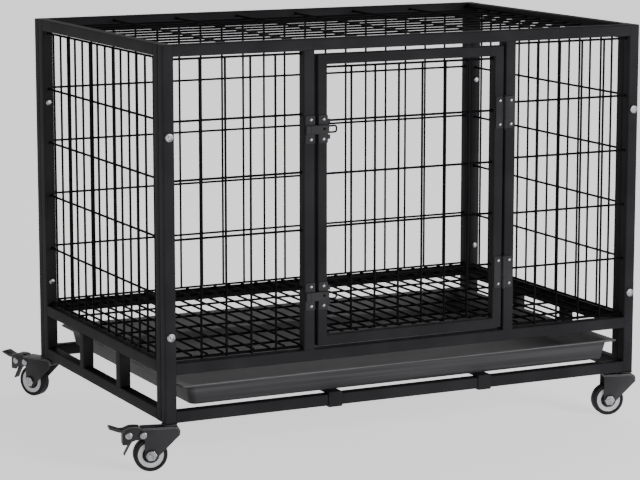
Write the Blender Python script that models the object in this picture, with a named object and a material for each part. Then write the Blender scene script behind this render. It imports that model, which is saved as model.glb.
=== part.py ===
"""Rolling dog cage: welded square-tube frames and wire panels, a hinged door, a slide-out tray, swivel casters.

Metres, Z up. X runs along the length, Y from the front (door) face to the back.
Plan positions below are measured from the frame's front left corner, heights from the frame's underside.
"""

import math

import bmesh
import bpy
from mathutils import Matrix, Vector

# Overall frame and tube
FRAME_LENGTH = 1.150
FRAME_DEPTH = 0.757
FRAME_HEIGHT = 0.789
TUBE = 0.025
GAP = 0.0003
FRAME_CLEARANCE = 0.100
FLOOR_RAIL_TOP = 0.127
STUB_SPACING = 0.220

# Wire panels
WIRE_RADIUS = 0.0020
WIRE_SINK = 0.0008
PANEL_ROWS = 6
END_WIRE_OFFSET = 0.006
END_ROW_INTERVAL = 0.128
FRONT_WIRES = 4
BACK_WIRES = 19
SIDE_WIRES = 14
# The gap beside a panel's outer wires, as a share of its pitch
FRONT_END_SHARE = 1.07
BACK_END_SHARE = 1.0
SIDE_NARROW_SHARE = 0.5
TOP_LONG_WIRES = 11
TOP_CROSS_WIRES = 8
FLOOR_LONG_WIRES = 31
FLOOR_CROSS_WIRES = 8
FLOOR_SIDE_INSET = 0.036
FLOOR_END_INSET = 0.034
FLOOR_END_STEP = 0.062
FLOOR_BEARING = 0.017

# Door opening, door and its wires
OPENING_LEFT = 0.3445
OPENING_RIGHT = 0.8075
DOOR_LEFT_GAP = 0.0075
DOOR_RIGHT_GAP = 0.0055
DOOR_BOTTOM_GAP = 0.0065
DOOR_TOP_GAP = 0.008
DOOR_TUBE = 0.022
DOOR_WIRES = 6
DOOR_WIRE_OFFSET = 0.0065

# Hinges
HINGE_HEIGHTS = (0.258, 0.611)
HINGE_LENGTH = 0.070
LEAF_REACH = 0.0225
LEAF_THICKNESS = 0.002
KNUCKLE_RADIUS = 0.0038
HINGE_PIN_RADIUS = 0.0018
RIVET_SPREAD = 0.026
RIVET_RADIUS = 0.0042
RIVET_HEIGHT = 0.0012

# Slide latches
LATCH_HEIGHTS = (0.2423, 0.5983)
LATCH_PLATE_LENGTH = 0.059
LATCH_SCREW_SPREAD = 0.021
LATCH_ROD_RADIUS = 0.0018
LATCH_ROD_SPREAD = 0.0067
LATCH_BLOCK_HALF = 0.0095
LATCH_BLOCK_DEPTH = 0.0058
LATCH_LOOP_REACH = 0.0200

# Corner bolts
BOLT_HEIGHTS = (0.183, 0.600)
BOLT_RADIUS = 0.004
BOLT_HEAD_RADIUS = 0.009
BOLT_HEAD_HEIGHT = 0.0045
BOLT_NUT_RADIUS = 0.0075
BOLT_NUT_HEIGHT = 0.003

# Tray and the two bars that carry it
TRAY_SIDE_INSET = 0.040
TRAY_FRONT_INSET = 0.005
TRAY_BACK_INSET = 0.032
TRAY_RIM_TOP = 0.0755
TRAY_RIM_DROP = 0.0035
TRAY_SIDE_FLANGE = 0.018
TRAY_END_FLANGE = 0.008
TRAY_SLOPE = 0.008
TRAY_WALL = 0.0025
TRAY_CORNER = 0.016
BAR_CENTRES = (0.393, 0.761)
BAR_WIDTH = 0.032
BAR_THICKNESS = 0.005
BAR_HOOK = 0.0025
BAR_HOOK_REACH = 0.014

# Casters
WHEEL_RADIUS = 0.036
WHEEL_WIDTH = 0.023
HUB_RADIUS = 0.0273
TRAIL = 0.041
FORK_INNER_HALF = 0.014
FORK_PLATE = 0.0025
FORK_TOP_PLATE = 0.003
FORK_SHOULDER = 0.010
FORK_NOSE = 0.021
CHEEK_END = 0.013
STEM_FLANGE_RADIUS = 0.017
STEM_FLANGE_THICKNESS = 0.005
STEM_RADIUS = 0.004
STEM_LENGTH = 0.022
STEM_NECK_RADIUS = 0.005
STEM_HEAD_RADIUS = 0.009
STEM_HEAD_THICKNESS = 0.0025
AXLE_RADIUS = 0.004
AXLE_HEAD_RADIUS = 0.0122
AXLE_HEAD_HEIGHT = 0.005
PIVOT_U = 0.057
PIVOT_DROP = 0.0205
PEDAL_HALF_WIDTH = 0.0115
PEDAL_PIN_RADIUS = 0.004
PEDAL_RIVET_RADIUS = 0.0074
TYRE_SIDES = 18
CASTER_YAWS = {"front_left": -14.0, "front_right": -14.0, "back_left": -60.0, "back_right": -14.0}
BRAKED = ("front_left", "back_left")

# Colours
BLACK = (0.024, 0.023, 0.027, 1.0)
GREY_PLATE = (0.052, 0.049, 0.054, 1.0)
TRAY_GREY = (0.060, 0.058, 0.061, 1.0)
SILVER = (0.62, 0.62, 0.64, 1.0)
HUB_GREY = (0.50, 0.50, 0.52, 1.0)
TYRE_BLACK = (0.016, 0.016, 0.018, 1.0)


def material(name, colour, metallic, roughness):
    made = bpy.data.materials.new(name)
    made.use_nodes = True
    shader = made.node_tree.nodes["Principled BSDF"]
    shader.inputs["Base Color"].default_value = colour
    shader.inputs["Metallic"].default_value = metallic
    shader.inputs["Roughness"].default_value = roughness
    return made


def mesh_object(name, points, faces):
    """A new object from points and faces, with every face turned outwards."""
    mesh = bpy.data.meshes.new(name)
    mesh.from_pydata([tuple(point) for point in points], [], faces)
    work = bmesh.new()
    work.from_mesh(mesh)
    bmesh.ops.recalc_face_normals(work, faces=work.faces)
    work.to_mesh(mesh)
    work.free()
    made = bpy.data.objects.new(name, mesh)
    bpy.context.scene.collection.objects.link(made)
    return made


def boxes(name, bounds):
    """One mesh of separate boxes, each given as (x0, x1, y0, y1, z0, z1)."""
    points = []
    faces = []
    for x0, x1, y0, y1, z0, z1 in bounds:
        base = len(points)
        for z in (z0, z1):
            points += [(x0, y0, z), (x1, y0, z), (x1, y1, z), (x0, y1, z)]
        for quad in ((0, 3, 2, 1), (4, 5, 6, 7), (0, 1, 5, 4), (1, 2, 6, 5), (2, 3, 7, 6), (3, 0, 4, 7)):
            faces.append([base + corner for corner in quad])
    return mesh_object(name, points, faces)


def loft(name, rings):
    """A solid through rings of equal point counts, closed by its first and last ring."""
    count = len(rings[0])
    points = [point for ring in rings for point in ring]
    faces = [list(range(count)), list(range(len(points) - count, len(points)))]
    for level in range(len(rings) - 1):
        for step in range(count):
            after = (step + 1) % count
            faces.append(
                [
                    level * count + step,
                    level * count + after,
                    (level + 1) * count + after,
                    (level + 1) * count + step,
                ]
            )
    return mesh_object(name, points, faces)


def clear_bore(radius):
    """The corner radius of an eight-sided bore whose flats clear a round bar of this radius."""
    return (radius + GAP) / math.cos(math.pi / 8)


def placed(obj, matrix):
    obj.data.transform(matrix)
    return obj


# Turns local (x, y, z) into (x along X, z along -Y, y along Z), for shapes drawn in the front plane
TO_FRONT = Matrix(((1, 0, 0, 0), (0, 0, -1, 0), (0, 1, 0, 0), (0, 0, 0, 1)))


def slab(name, outline, low, high):
    """A flat outline in local x and y, from local z low to high."""
    return loft(name, [[(x, y, z) for x, y in outline] for z in (low, high)])


def front_slab(name, outline, y_low, y_high):
    """An outline of X and Z, from Y y_low to y_high."""
    return placed(slab(name, outline, -y_high, -y_low), TO_FRONT)


def disc(radius, sides, turn=0.0):
    step = 2 * math.pi / sides
    return [(radius * math.cos(turn + step * i), radius * math.sin(turn + step * i)) for i in range(sides)]


def turned(name, profile, sides):
    """A solid of revolution about local Z, from (radius, height) pairs with no point on the axis."""
    rings = []
    for radius, height in profile:
        rings.append([(x, y, height) for x, y in disc(radius, sides, math.pi / sides)])
    return loft(name, rings)


def turned_ring(name, profile, sides):
    """A ring about local Z, from a closed (radius, height) outline, with flats towards local y."""
    count = len(profile)
    points = []
    for x, y in disc(1.0, sides, math.pi / 2 + math.pi / sides):
        points += [(x * radius, y * radius, height) for radius, height in profile]
    faces = []
    for step in range(sides):
        here = step * count
        there = (step + 1) % sides * count
        for corner in range(count):
            after = (corner + 1) % count
            faces.append([here + corner, here + after, there + after, there + corner])
    return mesh_object(name, points, faces)


def combined(target, others, operation):
    """The Boolean of target with the others, applied. The others are used up."""
    for other in others:
        step = target.modifiers.new("combine", "BOOLEAN")
        step.operation = operation
        step.solver = "EXACT"
        step.object = other
    bpy.context.view_layer.update()
    graph = bpy.context.evaluated_depsgraph_get()
    result = bpy.data.meshes.new_from_object(target.evaluated_get(graph))
    target.modifiers.clear()
    target.data = result
    for other in others:
        bpy.data.objects.remove(other, do_unlink=True)
    return target


def united(target, others):
    return combined(target, others, "UNION")


def cut(target, others):
    return combined(target, others, "DIFFERENCE")


def windowed(name, across, up, thickness, windows):
    """A welded tube frame in one plane: a rectangle in local x and y with rectangular windows."""
    xs = sorted({across[0], across[1]} | {w[0] for w in windows} | {w[1] for w in windows})
    ys = sorted({up[0], up[1]} | {w[2] for w in windows} | {w[3] for w in windows})

    def filled(i, j):
        if not (0 <= i < len(xs) - 1 and 0 <= j < len(ys) - 1):
            return False
        x = (xs[i] + xs[i + 1]) / 2
        y = (ys[j] + ys[j + 1]) / 2
        return not any(w[0] < x < w[1] and w[2] < y < w[3] for w in windows)

    layers = thickness
    points = [(x, y, z) for z in layers for y in ys for x in xs]

    def at(i, j, k):
        return k * len(xs) * len(ys) + j * len(xs) + i

    faces = []
    for i in range(len(xs) - 1):
        for j in range(len(ys) - 1):
            if not filled(i, j):
                continue
            faces.append([at(i, j, 0), at(i, j + 1, 0), at(i + 1, j + 1, 0), at(i + 1, j, 0)])
            faces.append([at(i, j, 1), at(i + 1, j, 1), at(i + 1, j + 1, 1), at(i, j + 1, 1)])
            if not filled(i - 1, j):
                faces.append([at(i, j, 0), at(i, j, 1), at(i, j + 1, 1), at(i, j + 1, 0)])
            if not filled(i + 1, j):
                faces.append([at(i + 1, j, 0), at(i + 1, j + 1, 0), at(i + 1, j + 1, 1), at(i + 1, j, 1)])
            if not filled(i, j - 1):
                faces.append([at(i, j, 0), at(i + 1, j, 0), at(i + 1, j, 1), at(i, j, 1)])
            if not filled(i, j + 1):
                faces.append([at(i, j + 1, 0), at(i, j + 1, 1), at(i + 1, j + 1, 1), at(i + 1, j + 1, 0)])
    made = mesh_object(name, points, faces)
    work = bmesh.new()
    work.from_mesh(made.data)
    loose = [vert for vert in work.verts if not vert.link_faces]
    bmesh.ops.delete(work, geom=loose, context="VERTS")
    bmesh.ops.dissolve_limit(
        work, angle_limit=math.radians(1), verts=work.verts, edges=work.edges, use_dissolve_boundaries=False
    )
    bmesh.ops.recalc_face_normals(work, faces=work.faces)
    work.to_mesh(made.data)
    work.free()
    return made


def spread(count, low, high, low_share, high_share):
    """Even places between two edges. Each end gap is a share of the pitch."""
    pitch = (high - low) / (count - 1 + low_share + high_share)
    return [low + pitch * (low_share + i) for i in range(count)]


def wires(name, bars, heart, standing):
    """Straight wires with a four-cornered section, each given as (place, start, end).

    Standing wires run along local y and the others along local x. heart is the height of their centre line.
    """
    points = []
    faces = []
    section = ((-WIRE_RADIUS, 0), (0, -WIRE_RADIUS), (WIRE_RADIUS, 0), (0, WIRE_RADIUS))
    for place, start, end in bars:
        base = len(points)
        for at in (start, end):
            for aside, up in section:
                point = (place + aside, at) if standing else (at, place + aside)
                points.append((*point, heart + up))
        faces.append([base + i for i in range(4)])
        faces.append([base + 4 + i for i in range(4)])
        for i in range(4):
            after = (i + 1) % 4
            faces.append([base + i, base + after, base + 4 + after, base + 4 + i])
    return mesh_object(name, points, faces)


def wire_panel(name, uprights, rows, row_ends, upright_ends, layer, upright_side):
    """Two welded layers of wires: uprights along local y, rows along local x.

    layer is the plane between the two. The uprights lie on the side of it that upright_side says, 1 or -1.
    """
    offset = upright_side * (WIRE_RADIUS - WIRE_SINK / 2)
    standing = wires(name, [(x, *upright_ends) for x in uprights], layer + offset, True)
    lying = wires("rows", [(y, *row_ends(y)) for y in rows], layer - offset, False)
    return united(standing, [lying])


def row_heights(low, high):
    """Row heights with slightly wider first and last intervals."""
    end = END_ROW_INTERVAL * (high - low) / 0.625
    inner = (high - low - 2 * end) / (PANEL_ROWS - 3)
    return [low] + [low + end + inner * i for i in range(PANEL_ROWS - 2)] + [high]


for leftover in list(bpy.data.objects):
    bpy.data.objects.remove(leftover, do_unlink=True)

pieces = {}
coats = {}


def keep(obj, name, colour, metallic=0.0, roughness=0.45):
    obj.name = name
    obj.data.name = name
    obj.data.materials.clear()
    obj.data.materials.append(material(name, colour, metallic, roughness))
    pieces[name] = obj
    return obj


TO_LEFT_SIDE = Matrix(((0, 0, 1, 0), (1, 0, 0, 0), (0, 1, 0, 0), (0, 0, 0, 1)))
FLOOR_RAIL_BASE = FLOOR_RAIL_TOP - TUBE
TOP_RAIL_BASE = FRAME_HEIGHT - TUBE
POST_CENTRE = TUBE / 2

# Front frame: corner posts, door posts, and top, floor and bottom rails, with bolt and stem holes
front_windows = [
    (TUBE, OPENING_LEFT - TUBE, FLOOR_RAIL_TOP, TOP_RAIL_BASE),
    (OPENING_LEFT, OPENING_RIGHT, FLOOR_RAIL_TOP, TOP_RAIL_BASE),
    (OPENING_RIGHT + TUBE, FRAME_LENGTH - TUBE, FLOOR_RAIL_TOP, TOP_RAIL_BASE),
    (TUBE, FRAME_LENGTH - TUBE, TUBE, FLOOR_RAIL_BASE),
]
back_windows = [
    (TUBE, FRAME_LENGTH - TUBE, FLOOR_RAIL_TOP, TOP_RAIL_BASE),
    (TUBE, FRAME_LENGTH - TUBE, TUBE, FLOOR_RAIL_BASE),
]
SIDE_FRONT = TUBE + GAP
SIDE_BACK = FRAME_DEPTH - TUBE - GAP
POST_XS = (POST_CENTRE, FRAME_LENGTH - POST_CENTRE)


def bolt_holes(x_values, y_low, y_high):
    holes = []
    for x in x_values:
        for height in BOLT_HEIGHTS:
            outline = [(x + u, height + v) for u, v in disc(clear_bore(BOLT_RADIUS), 8, math.pi / 8)]
            holes.append(front_slab("hole", outline, y_low, y_high))
    return holes


def stem_holes(y):
    holes = []
    for x in POST_XS:
        drill = turned("hole", [(clear_bore(STEM_RADIUS), -0.01), (clear_bore(STEM_RADIUS), STEM_LENGTH + GAP)], 8)
        holes.append(placed(drill, Matrix.Translation((x, y, 0))))
    return holes


front = windowed("front_frame", (0, FRAME_LENGTH), (0, FRAME_HEIGHT), (-TUBE, 0), front_windows)
placed(front, TO_FRONT)
cut(front, bolt_holes(POST_XS, -0.01, TUBE + 0.01) + stem_holes(POST_CENTRE))
keep(front, "front_frame", BLACK)

# Back frame: two posts and three rails
back = windowed("back_frame", (0, FRAME_LENGTH), (0, FRAME_HEIGHT), (-FRAME_DEPTH, TUBE - FRAME_DEPTH), back_windows)
placed(back, TO_FRONT)
cut(
    back,
    bolt_holes(POST_XS, FRAME_DEPTH - TUBE - 0.01, FRAME_DEPTH + 0.01) + stem_holes(FRAME_DEPTH - POST_CENTRE),
)
keep(back, "back_frame", BLACK)

# Side frames: two posts, three rails and two short stubs under the floor rail
stub_ys = [FRAME_DEPTH / 2 + STUB_SPACING * k for k in (-0.5, 0.5)]
lower_edges = [SIDE_FRONT + TUBE]
for y in stub_ys:
    lower_edges += [y - TUBE / 2, y + TUBE / 2]
lower_edges.append(SIDE_BACK - TUBE)
side_windows = [(SIDE_FRONT + TUBE, SIDE_BACK - TUBE, FLOOR_RAIL_TOP, TOP_RAIL_BASE)]
for low, high in zip(lower_edges[::2], lower_edges[1::2], strict=True):
    side_windows.append((low, high, TUBE, FLOOR_RAIL_BASE))
for name, x_low in (("left_side_frame", 0.0), ("right_side_frame", FRAME_LENGTH - TUBE)):
    side = windowed(name, (SIDE_FRONT, SIDE_BACK), (0, FRAME_HEIGHT), (x_low, x_low + TUBE), side_windows)
    placed(side, TO_LEFT_SIDE)
    holes = bolt_holes([x_low + POST_CENTRE], 0, SIDE_FRONT + TUBE + 0.01)
    holes += bolt_holes([x_low + POST_CENTRE], SIDE_BACK - TUBE - 0.01, FRAME_DEPTH)
    keep(cut(side, holes), name, BLACK)

# Wire panels of the front, back and sides, each in the middle of its tubes
low_row = FLOOR_RAIL_TOP + END_WIRE_OFFSET
high_row = TOP_RAIL_BASE - END_WIRE_OFFSET
rows = row_heights(low_row, high_row)
wire_tip = WIRE_RADIUS
upright_ends = (low_row - wire_tip, high_row + wire_tip)


def full_rows(low, high):
    return lambda height: (low + GAP, high - GAP)


for name, low, high in (
    ("front_left_mesh", TUBE, OPENING_LEFT - TUBE),
    ("front_right_mesh", OPENING_RIGHT + TUBE, FRAME_LENGTH - TUBE),
):
    uprights = spread(FRONT_WIRES, low, high, FRONT_END_SHARE, FRONT_END_SHARE)
    panel = wire_panel(name, uprights, rows, full_rows(low, high), upright_ends, -POST_CENTRE, 1)
    keep(placed(panel, TO_FRONT), name, BLACK)

uprights = spread(BACK_WIRES, TUBE, FRAME_LENGTH - TUBE, BACK_END_SHARE, BACK_END_SHARE)
back_layer = POST_CENTRE - FRAME_DEPTH
back_rows = full_rows(TUBE, FRAME_LENGTH - TUBE)
panel = wire_panel("back_mesh", uprights, rows, back_rows, upright_ends, back_layer, -1)
keep(placed(panel, TO_FRONT), "back_mesh", BLACK)

side_inner = (SIDE_FRONT + TUBE, SIDE_BACK - TUBE)
# The two side panels are one panel, turned round
for name, shares, layer, upright_side in (
    ("left_mesh", (SIDE_NARROW_SHARE, 1.0), POST_CENTRE, -1),
    ("right_mesh", (1.0, SIDE_NARROW_SHARE), FRAME_LENGTH - POST_CENTRE, 1),
):
    uprights = spread(SIDE_WIRES, *side_inner, *shares)
    panel = wire_panel(name, uprights, rows, full_rows(*side_inner), upright_ends, layer, upright_side)
    keep(placed(panel, TO_LEFT_SIDE), name, BLACK)

# Top panel: long wires along the length, welded under cross wires that run from front rail to back rail
top_layer = FRAME_HEIGHT - POST_CENTRE
cross_first = TUBE + END_WIRE_OFFSET
cross_last = FRAME_LENGTH - TUBE - END_WIRE_OFFSET
cross_xs = spread(TOP_CROSS_WIRES, cross_first, cross_last, 0, 0)
long_ys = spread(TOP_LONG_WIRES, TUBE, FRAME_DEPTH - TUBE, 1, 1)
panel = wire_panel(
    "top_mesh",
    cross_xs,
    long_ys,
    lambda y: (cross_first - wire_tip, cross_last + wire_tip),
    (TUBE + GAP, FRAME_DEPTH - TUBE - GAP),
    top_layer,
    1,
)
keep(panel, "top_mesh", BLACK)

# Floor grid: close wires running front to back over cross wires that rest on the side rails
floor_xs = spread(FLOOR_LONG_WIRES, FLOOR_SIDE_INSET, FRAME_LENGTH - FLOOR_SIDE_INSET, 0, 0)
first_cross = FLOOR_END_INSET + FLOOR_END_STEP
floor_ys = [FLOOR_END_INSET] + spread(FLOOR_CROSS_WIRES - 2, first_cross, FRAME_DEPTH - first_cross, 0, 0)
floor_ys.append(FRAME_DEPTH - FLOOR_END_INSET)


def floor_row_ends(y):
    if y in (floor_ys[0], floor_ys[-1]):
        return (FLOOR_SIDE_INSET - wire_tip, FRAME_LENGTH - FLOOR_SIDE_INSET + wire_tip)
    return (FLOOR_BEARING, FRAME_LENGTH - FLOOR_BEARING)


floor_layer = FLOOR_RAIL_TOP + GAP + 2 * WIRE_RADIUS - WIRE_SINK / 2
panel = wire_panel(
    "floor_grid",
    floor_xs,
    floor_ys,
    floor_row_ends,
    (FLOOR_END_INSET - wire_tip, FRAME_DEPTH - FLOOR_END_INSET + wire_tip),
    floor_layer,
    1,
)
keep(panel, "floor_grid", BLACK)

# Tray bars: flat bars from front to back that hook round the bottom rails
bar_low = TUBE + GAP
bar_high = bar_low + BAR_THICKNESS
hook_out = GAP + BAR_HOOK
bar_outline = [
    (-hook_out, -hook_out),
    (BAR_HOOK_REACH, -hook_out),
    (BAR_HOOK_REACH, -GAP),
    (-GAP, -GAP),
    (-GAP, bar_low),
    (FRAME_DEPTH + GAP, bar_low),
    (FRAME_DEPTH + GAP, -GAP),
    (FRAME_DEPTH - BAR_HOOK_REACH, -GAP),
    (FRAME_DEPTH - BAR_HOOK_REACH, -hook_out),
    (FRAME_DEPTH + hook_out, -hook_out),
    (FRAME_DEPTH + hook_out, bar_high),
    (-hook_out, bar_high),
]
for name, centre in zip(("tray_bar_left", "tray_bar_right"), BAR_CENTRES, strict=True):
    bar = slab(name, bar_outline, centre - BAR_WIDTH / 2, centre + BAR_WIDTH / 2)
    keep(placed(bar, TO_LEFT_SIDE), name, BLACK)

# Tray: a shallow pan with sloped sides, rounded corners and a flange round its rim
tray_base = bar_high + GAP
tray_front = TRAY_FRONT_INSET
tray_back = FRAME_DEPTH - TRAY_BACK_INSET


def tray_ring(side_inset, end_inset, height, corner, steps=3):
    """A rounded rectangle, inset from the rim's outer edge."""
    x0 = TRAY_SIDE_INSET + side_inset
    x1 = FRAME_LENGTH - TRAY_SIDE_INSET - side_inset
    y0 = tray_front + end_inset
    y1 = tray_back - end_inset
    ring = []
    for cx, cy, start in (
        (x1 - corner, y0 + corner, -90),
        (x1 - corner, y1 - corner, 0),
        (x0 + corner, y1 - corner, 90),
        (x0 + corner, y0 + corner, 180),
    ):
        for step in range(steps + 1):
            angle = math.radians(start + 90 * step / steps)
            ring.append((cx + corner * math.cos(angle), cy + corner * math.sin(angle), height))
    return ring


side_wall = TRAY_SIDE_FLANGE + TRAY_WALL
end_wall = TRAY_END_FLANGE + TRAY_WALL
tray = loft(
    "tray",
    [
        tray_ring(TRAY_SIDE_FLANGE + TRAY_SLOPE, TRAY_END_FLANGE + TRAY_SLOPE, tray_base, TRAY_CORNER),
        tray_ring(TRAY_SIDE_FLANGE, TRAY_END_FLANGE, TRAY_RIM_TOP - TRAY_RIM_DROP, TRAY_CORNER),
        tray_ring(0, 0, TRAY_RIM_TOP - TRAY_RIM_DROP, 0.006),
        tray_ring(0, 0, TRAY_RIM_TOP, 0.006),
        tray_ring(side_wall, end_wall, TRAY_RIM_TOP, TRAY_CORNER - TRAY_WALL),
        tray_ring(side_wall + TRAY_SLOPE, end_wall + TRAY_SLOPE, tray_base + TRAY_WALL, TRAY_CORNER - TRAY_WALL),
    ],
)
keep(tray, "tray", TRAY_GREY, 0.0, 0.5)

# Corner bolts: through the front or back post into the side frame's post, domed head outside, cap nut inside
HEAD_SIDES = 10
inner_face = SIDE_FRONT + TUBE
bolt_profile = [
    (BOLT_HEAD_RADIUS * 0.55, BOLT_HEAD_HEIGHT + GAP),
    (BOLT_HEAD_RADIUS * 0.9, BOLT_HEAD_HEIGHT * 0.6 + GAP),
    (BOLT_HEAD_RADIUS, GAP),
    (BOLT_RADIUS, GAP),
    (BOLT_RADIUS, -inner_face - GAP),
    (BOLT_NUT_RADIUS, -inner_face - GAP),
    (BOLT_NUT_RADIUS * 0.8, -inner_face - GAP - BOLT_NUT_HEIGHT),
]
for end in ("front", "back"):
    for side, x in zip(("left", "right"), POST_XS, strict=True):
        for level, height in zip(("lower", "upper"), BOLT_HEIGHTS, strict=True):
            bolt = turned("bolt", bolt_profile, HEAD_SIDES)
            placed(bolt, Matrix.Rotation(math.radians(90 if end == "front" else -90), 4, "X"))
            placed(bolt, Matrix.Translation((x, 0 if end == "front" else FRAME_DEPTH, height)))
            keep(bolt, f"bolt_{end}_{side}_{level}", SILVER, 1.0, 0.35)

# Door frame and its wires
door_left = OPENING_LEFT + DOOR_LEFT_GAP
door_right = OPENING_RIGHT - DOOR_RIGHT_GAP
door_low = FLOOR_RAIL_TOP + DOOR_BOTTOM_GAP
door_high = TOP_RAIL_BASE - DOOR_TOP_GAP
door = windowed(
    "door_frame",
    (door_left, door_right),
    (door_low, door_high),
    (-DOOR_TUBE, 0),
    [(door_left + DOOR_TUBE, door_right - DOOR_TUBE, door_low + DOOR_TUBE, door_high - DOOR_TUBE)],
)
keep(placed(door, TO_FRONT), "door_frame", BLACK)
door_row_low = door_low + DOOR_TUBE + DOOR_WIRE_OFFSET
door_row_high = door_high - DOOR_TUBE - DOOR_WIRE_OFFSET
door_row_pitch = (door_row_high - door_row_low) / (PANEL_ROWS - 1)
panel = wire_panel(
    "door_mesh",
    spread(DOOR_WIRES, door_left + DOOR_TUBE, door_right - DOOR_TUBE, FRONT_END_SHARE, FRONT_END_SHARE),
    [door_row_low + door_row_pitch * i for i in range(PANEL_ROWS)],
    full_rows(door_left + DOOR_TUBE, door_right - DOOR_TUBE),
    (door_row_low - wire_tip, door_row_high + wire_tip),
    -DOOR_TUBE / 2,
    1,
)
keep(placed(panel, TO_FRONT), "door_mesh", BLACK)

# Hinges: a leaf on the post, a leaf on the door stile, and a pin through both
hinge_x = OPENING_RIGHT - DOOR_RIGHT_GAP / 2
hinge_y = -GAP - KNUCKLE_RADIUS
third = HINGE_LENGTH / 3


def knuckle(low, high):
    barrel = turned("knuckle", [(KNUCKLE_RADIUS, low), (KNUCKLE_RADIUS, high)], 12)
    return placed(barrel, Matrix.Translation((hinge_x, hinge_y, 0)))


def rivet_heads(points, face_y):
    heads = []
    for x, height in points:
        outline = [(x + u, height + v) for u, v in disc(RIVET_RADIUS, 8, math.pi / 8)]
        heads.append(front_slab("rivet", outline, face_y - RIVET_HEIGHT, face_y + LEAF_THICKNESS / 2))
    return heads


def pin_bore():
    bore = turned("bore", [(clear_bore(HINGE_PIN_RADIUS), 0), (clear_bore(HINGE_PIN_RADIUS), FRAME_HEIGHT)], 8)
    return placed(bore, Matrix.Translation((hinge_x, hinge_y, 0)))


leaf_back = -GAP
leaf_front = -GAP - LEAF_THICKNESS
for level, centre in zip(("lower", "upper"), HINGE_HEIGHTS, strict=True):
    low = centre - HINGE_LENGTH / 2
    high = centre + HINGE_LENGTH / 2
    clear = KNUCKLE_RADIUS + GAP
    post_leaf = boxes(
        "leaf",
        [(hinge_x + clear, hinge_x + LEAF_REACH, leaf_front, leaf_back, low, high)],
    )
    arms = boxes(
        "arms",
        [
            (hinge_x, hinge_x + clear + 0.001, leaf_front, leaf_back, low, low + third - GAP),
            (hinge_x, hinge_x + clear + 0.001, leaf_front, leaf_back, high - third + GAP, high),
        ],
    )
    screws = rivet_heads([(hinge_x + 0.0155, centre + s * RIVET_SPREAD) for s in (-1, 1)], leaf_front)
    united(post_leaf, [arms, knuckle(low, low + third - GAP), knuckle(high - third + GAP, high)] + screws)
    keep(cut(post_leaf, [pin_bore()]), f"hinge_post_leaf_{level}", GREY_PLATE)
    door_leaf = boxes(
        "leaf",
        [(hinge_x - LEAF_REACH, hinge_x - clear, leaf_front, leaf_back, low, high)],
    )
    arm = boxes("arm", [(hinge_x - clear - 0.001, hinge_x, leaf_front, leaf_back, low + third, high - third)])
    screws = rivet_heads([(hinge_x - 0.0120, centre + s * RIVET_SPREAD) for s in (-1, 1)], leaf_front)
    united(door_leaf, [arm, knuckle(low + third, high - third)] + screws)
    keep(cut(door_leaf, [pin_bore()]), f"hinge_door_leaf_{level}", GREY_PLATE)
    pin = turned(
        "pin",
        [
            (KNUCKLE_RADIUS * 0.8, low - GAP - 0.002),
            (KNUCKLE_RADIUS * 0.8, low - GAP),
            (HINGE_PIN_RADIUS, low - GAP),
            (HINGE_PIN_RADIUS, high + GAP),
            (KNUCKLE_RADIUS * 0.8, high + GAP),
            (KNUCKLE_RADIUS * 0.8, high + GAP + 0.002),
        ],
        8,
    )
    keep(placed(pin, Matrix.Translation((hinge_x, hinge_y, 0))), f"hinge_pin_{level}", GREY_PLATE)

# Slide latches: keeper on the post, housing on the stile, and a U-shaped rod that slides through both
plate_front = -GAP - LEAF_THICKNESS
rod_y = plate_front - GAP - LATCH_BLOCK_DEPTH / 2
block_front = plate_front - GAP - LATCH_BLOCK_DEPTH
keeper_block_left = OPENING_LEFT - 0.0230
housing_left = OPENING_LEFT - 0.0115
housing_right = door_left + DOOR_TUBE + 0.0005
rod_tip = housing_left + 0.002
rod_bend = housing_right + LATCH_LOOP_REACH - LATCH_ROD_RADIUS
rod_bore_radius = clear_bore(LATCH_ROD_RADIUS)


def rod_bores(x_low, x_high, centre):
    bores = []
    for side in (-1, 1):
        bore = turned("bore", [(rod_bore_radius, x_low), (rod_bore_radius, x_high)], 8)
        placed(bore, Matrix.Rotation(math.radians(90), 4, "Y"))
        bores.append(placed(bore, Matrix.Translation((0, rod_y, centre + side * LATCH_ROD_SPREAD))))
    return bores


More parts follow.
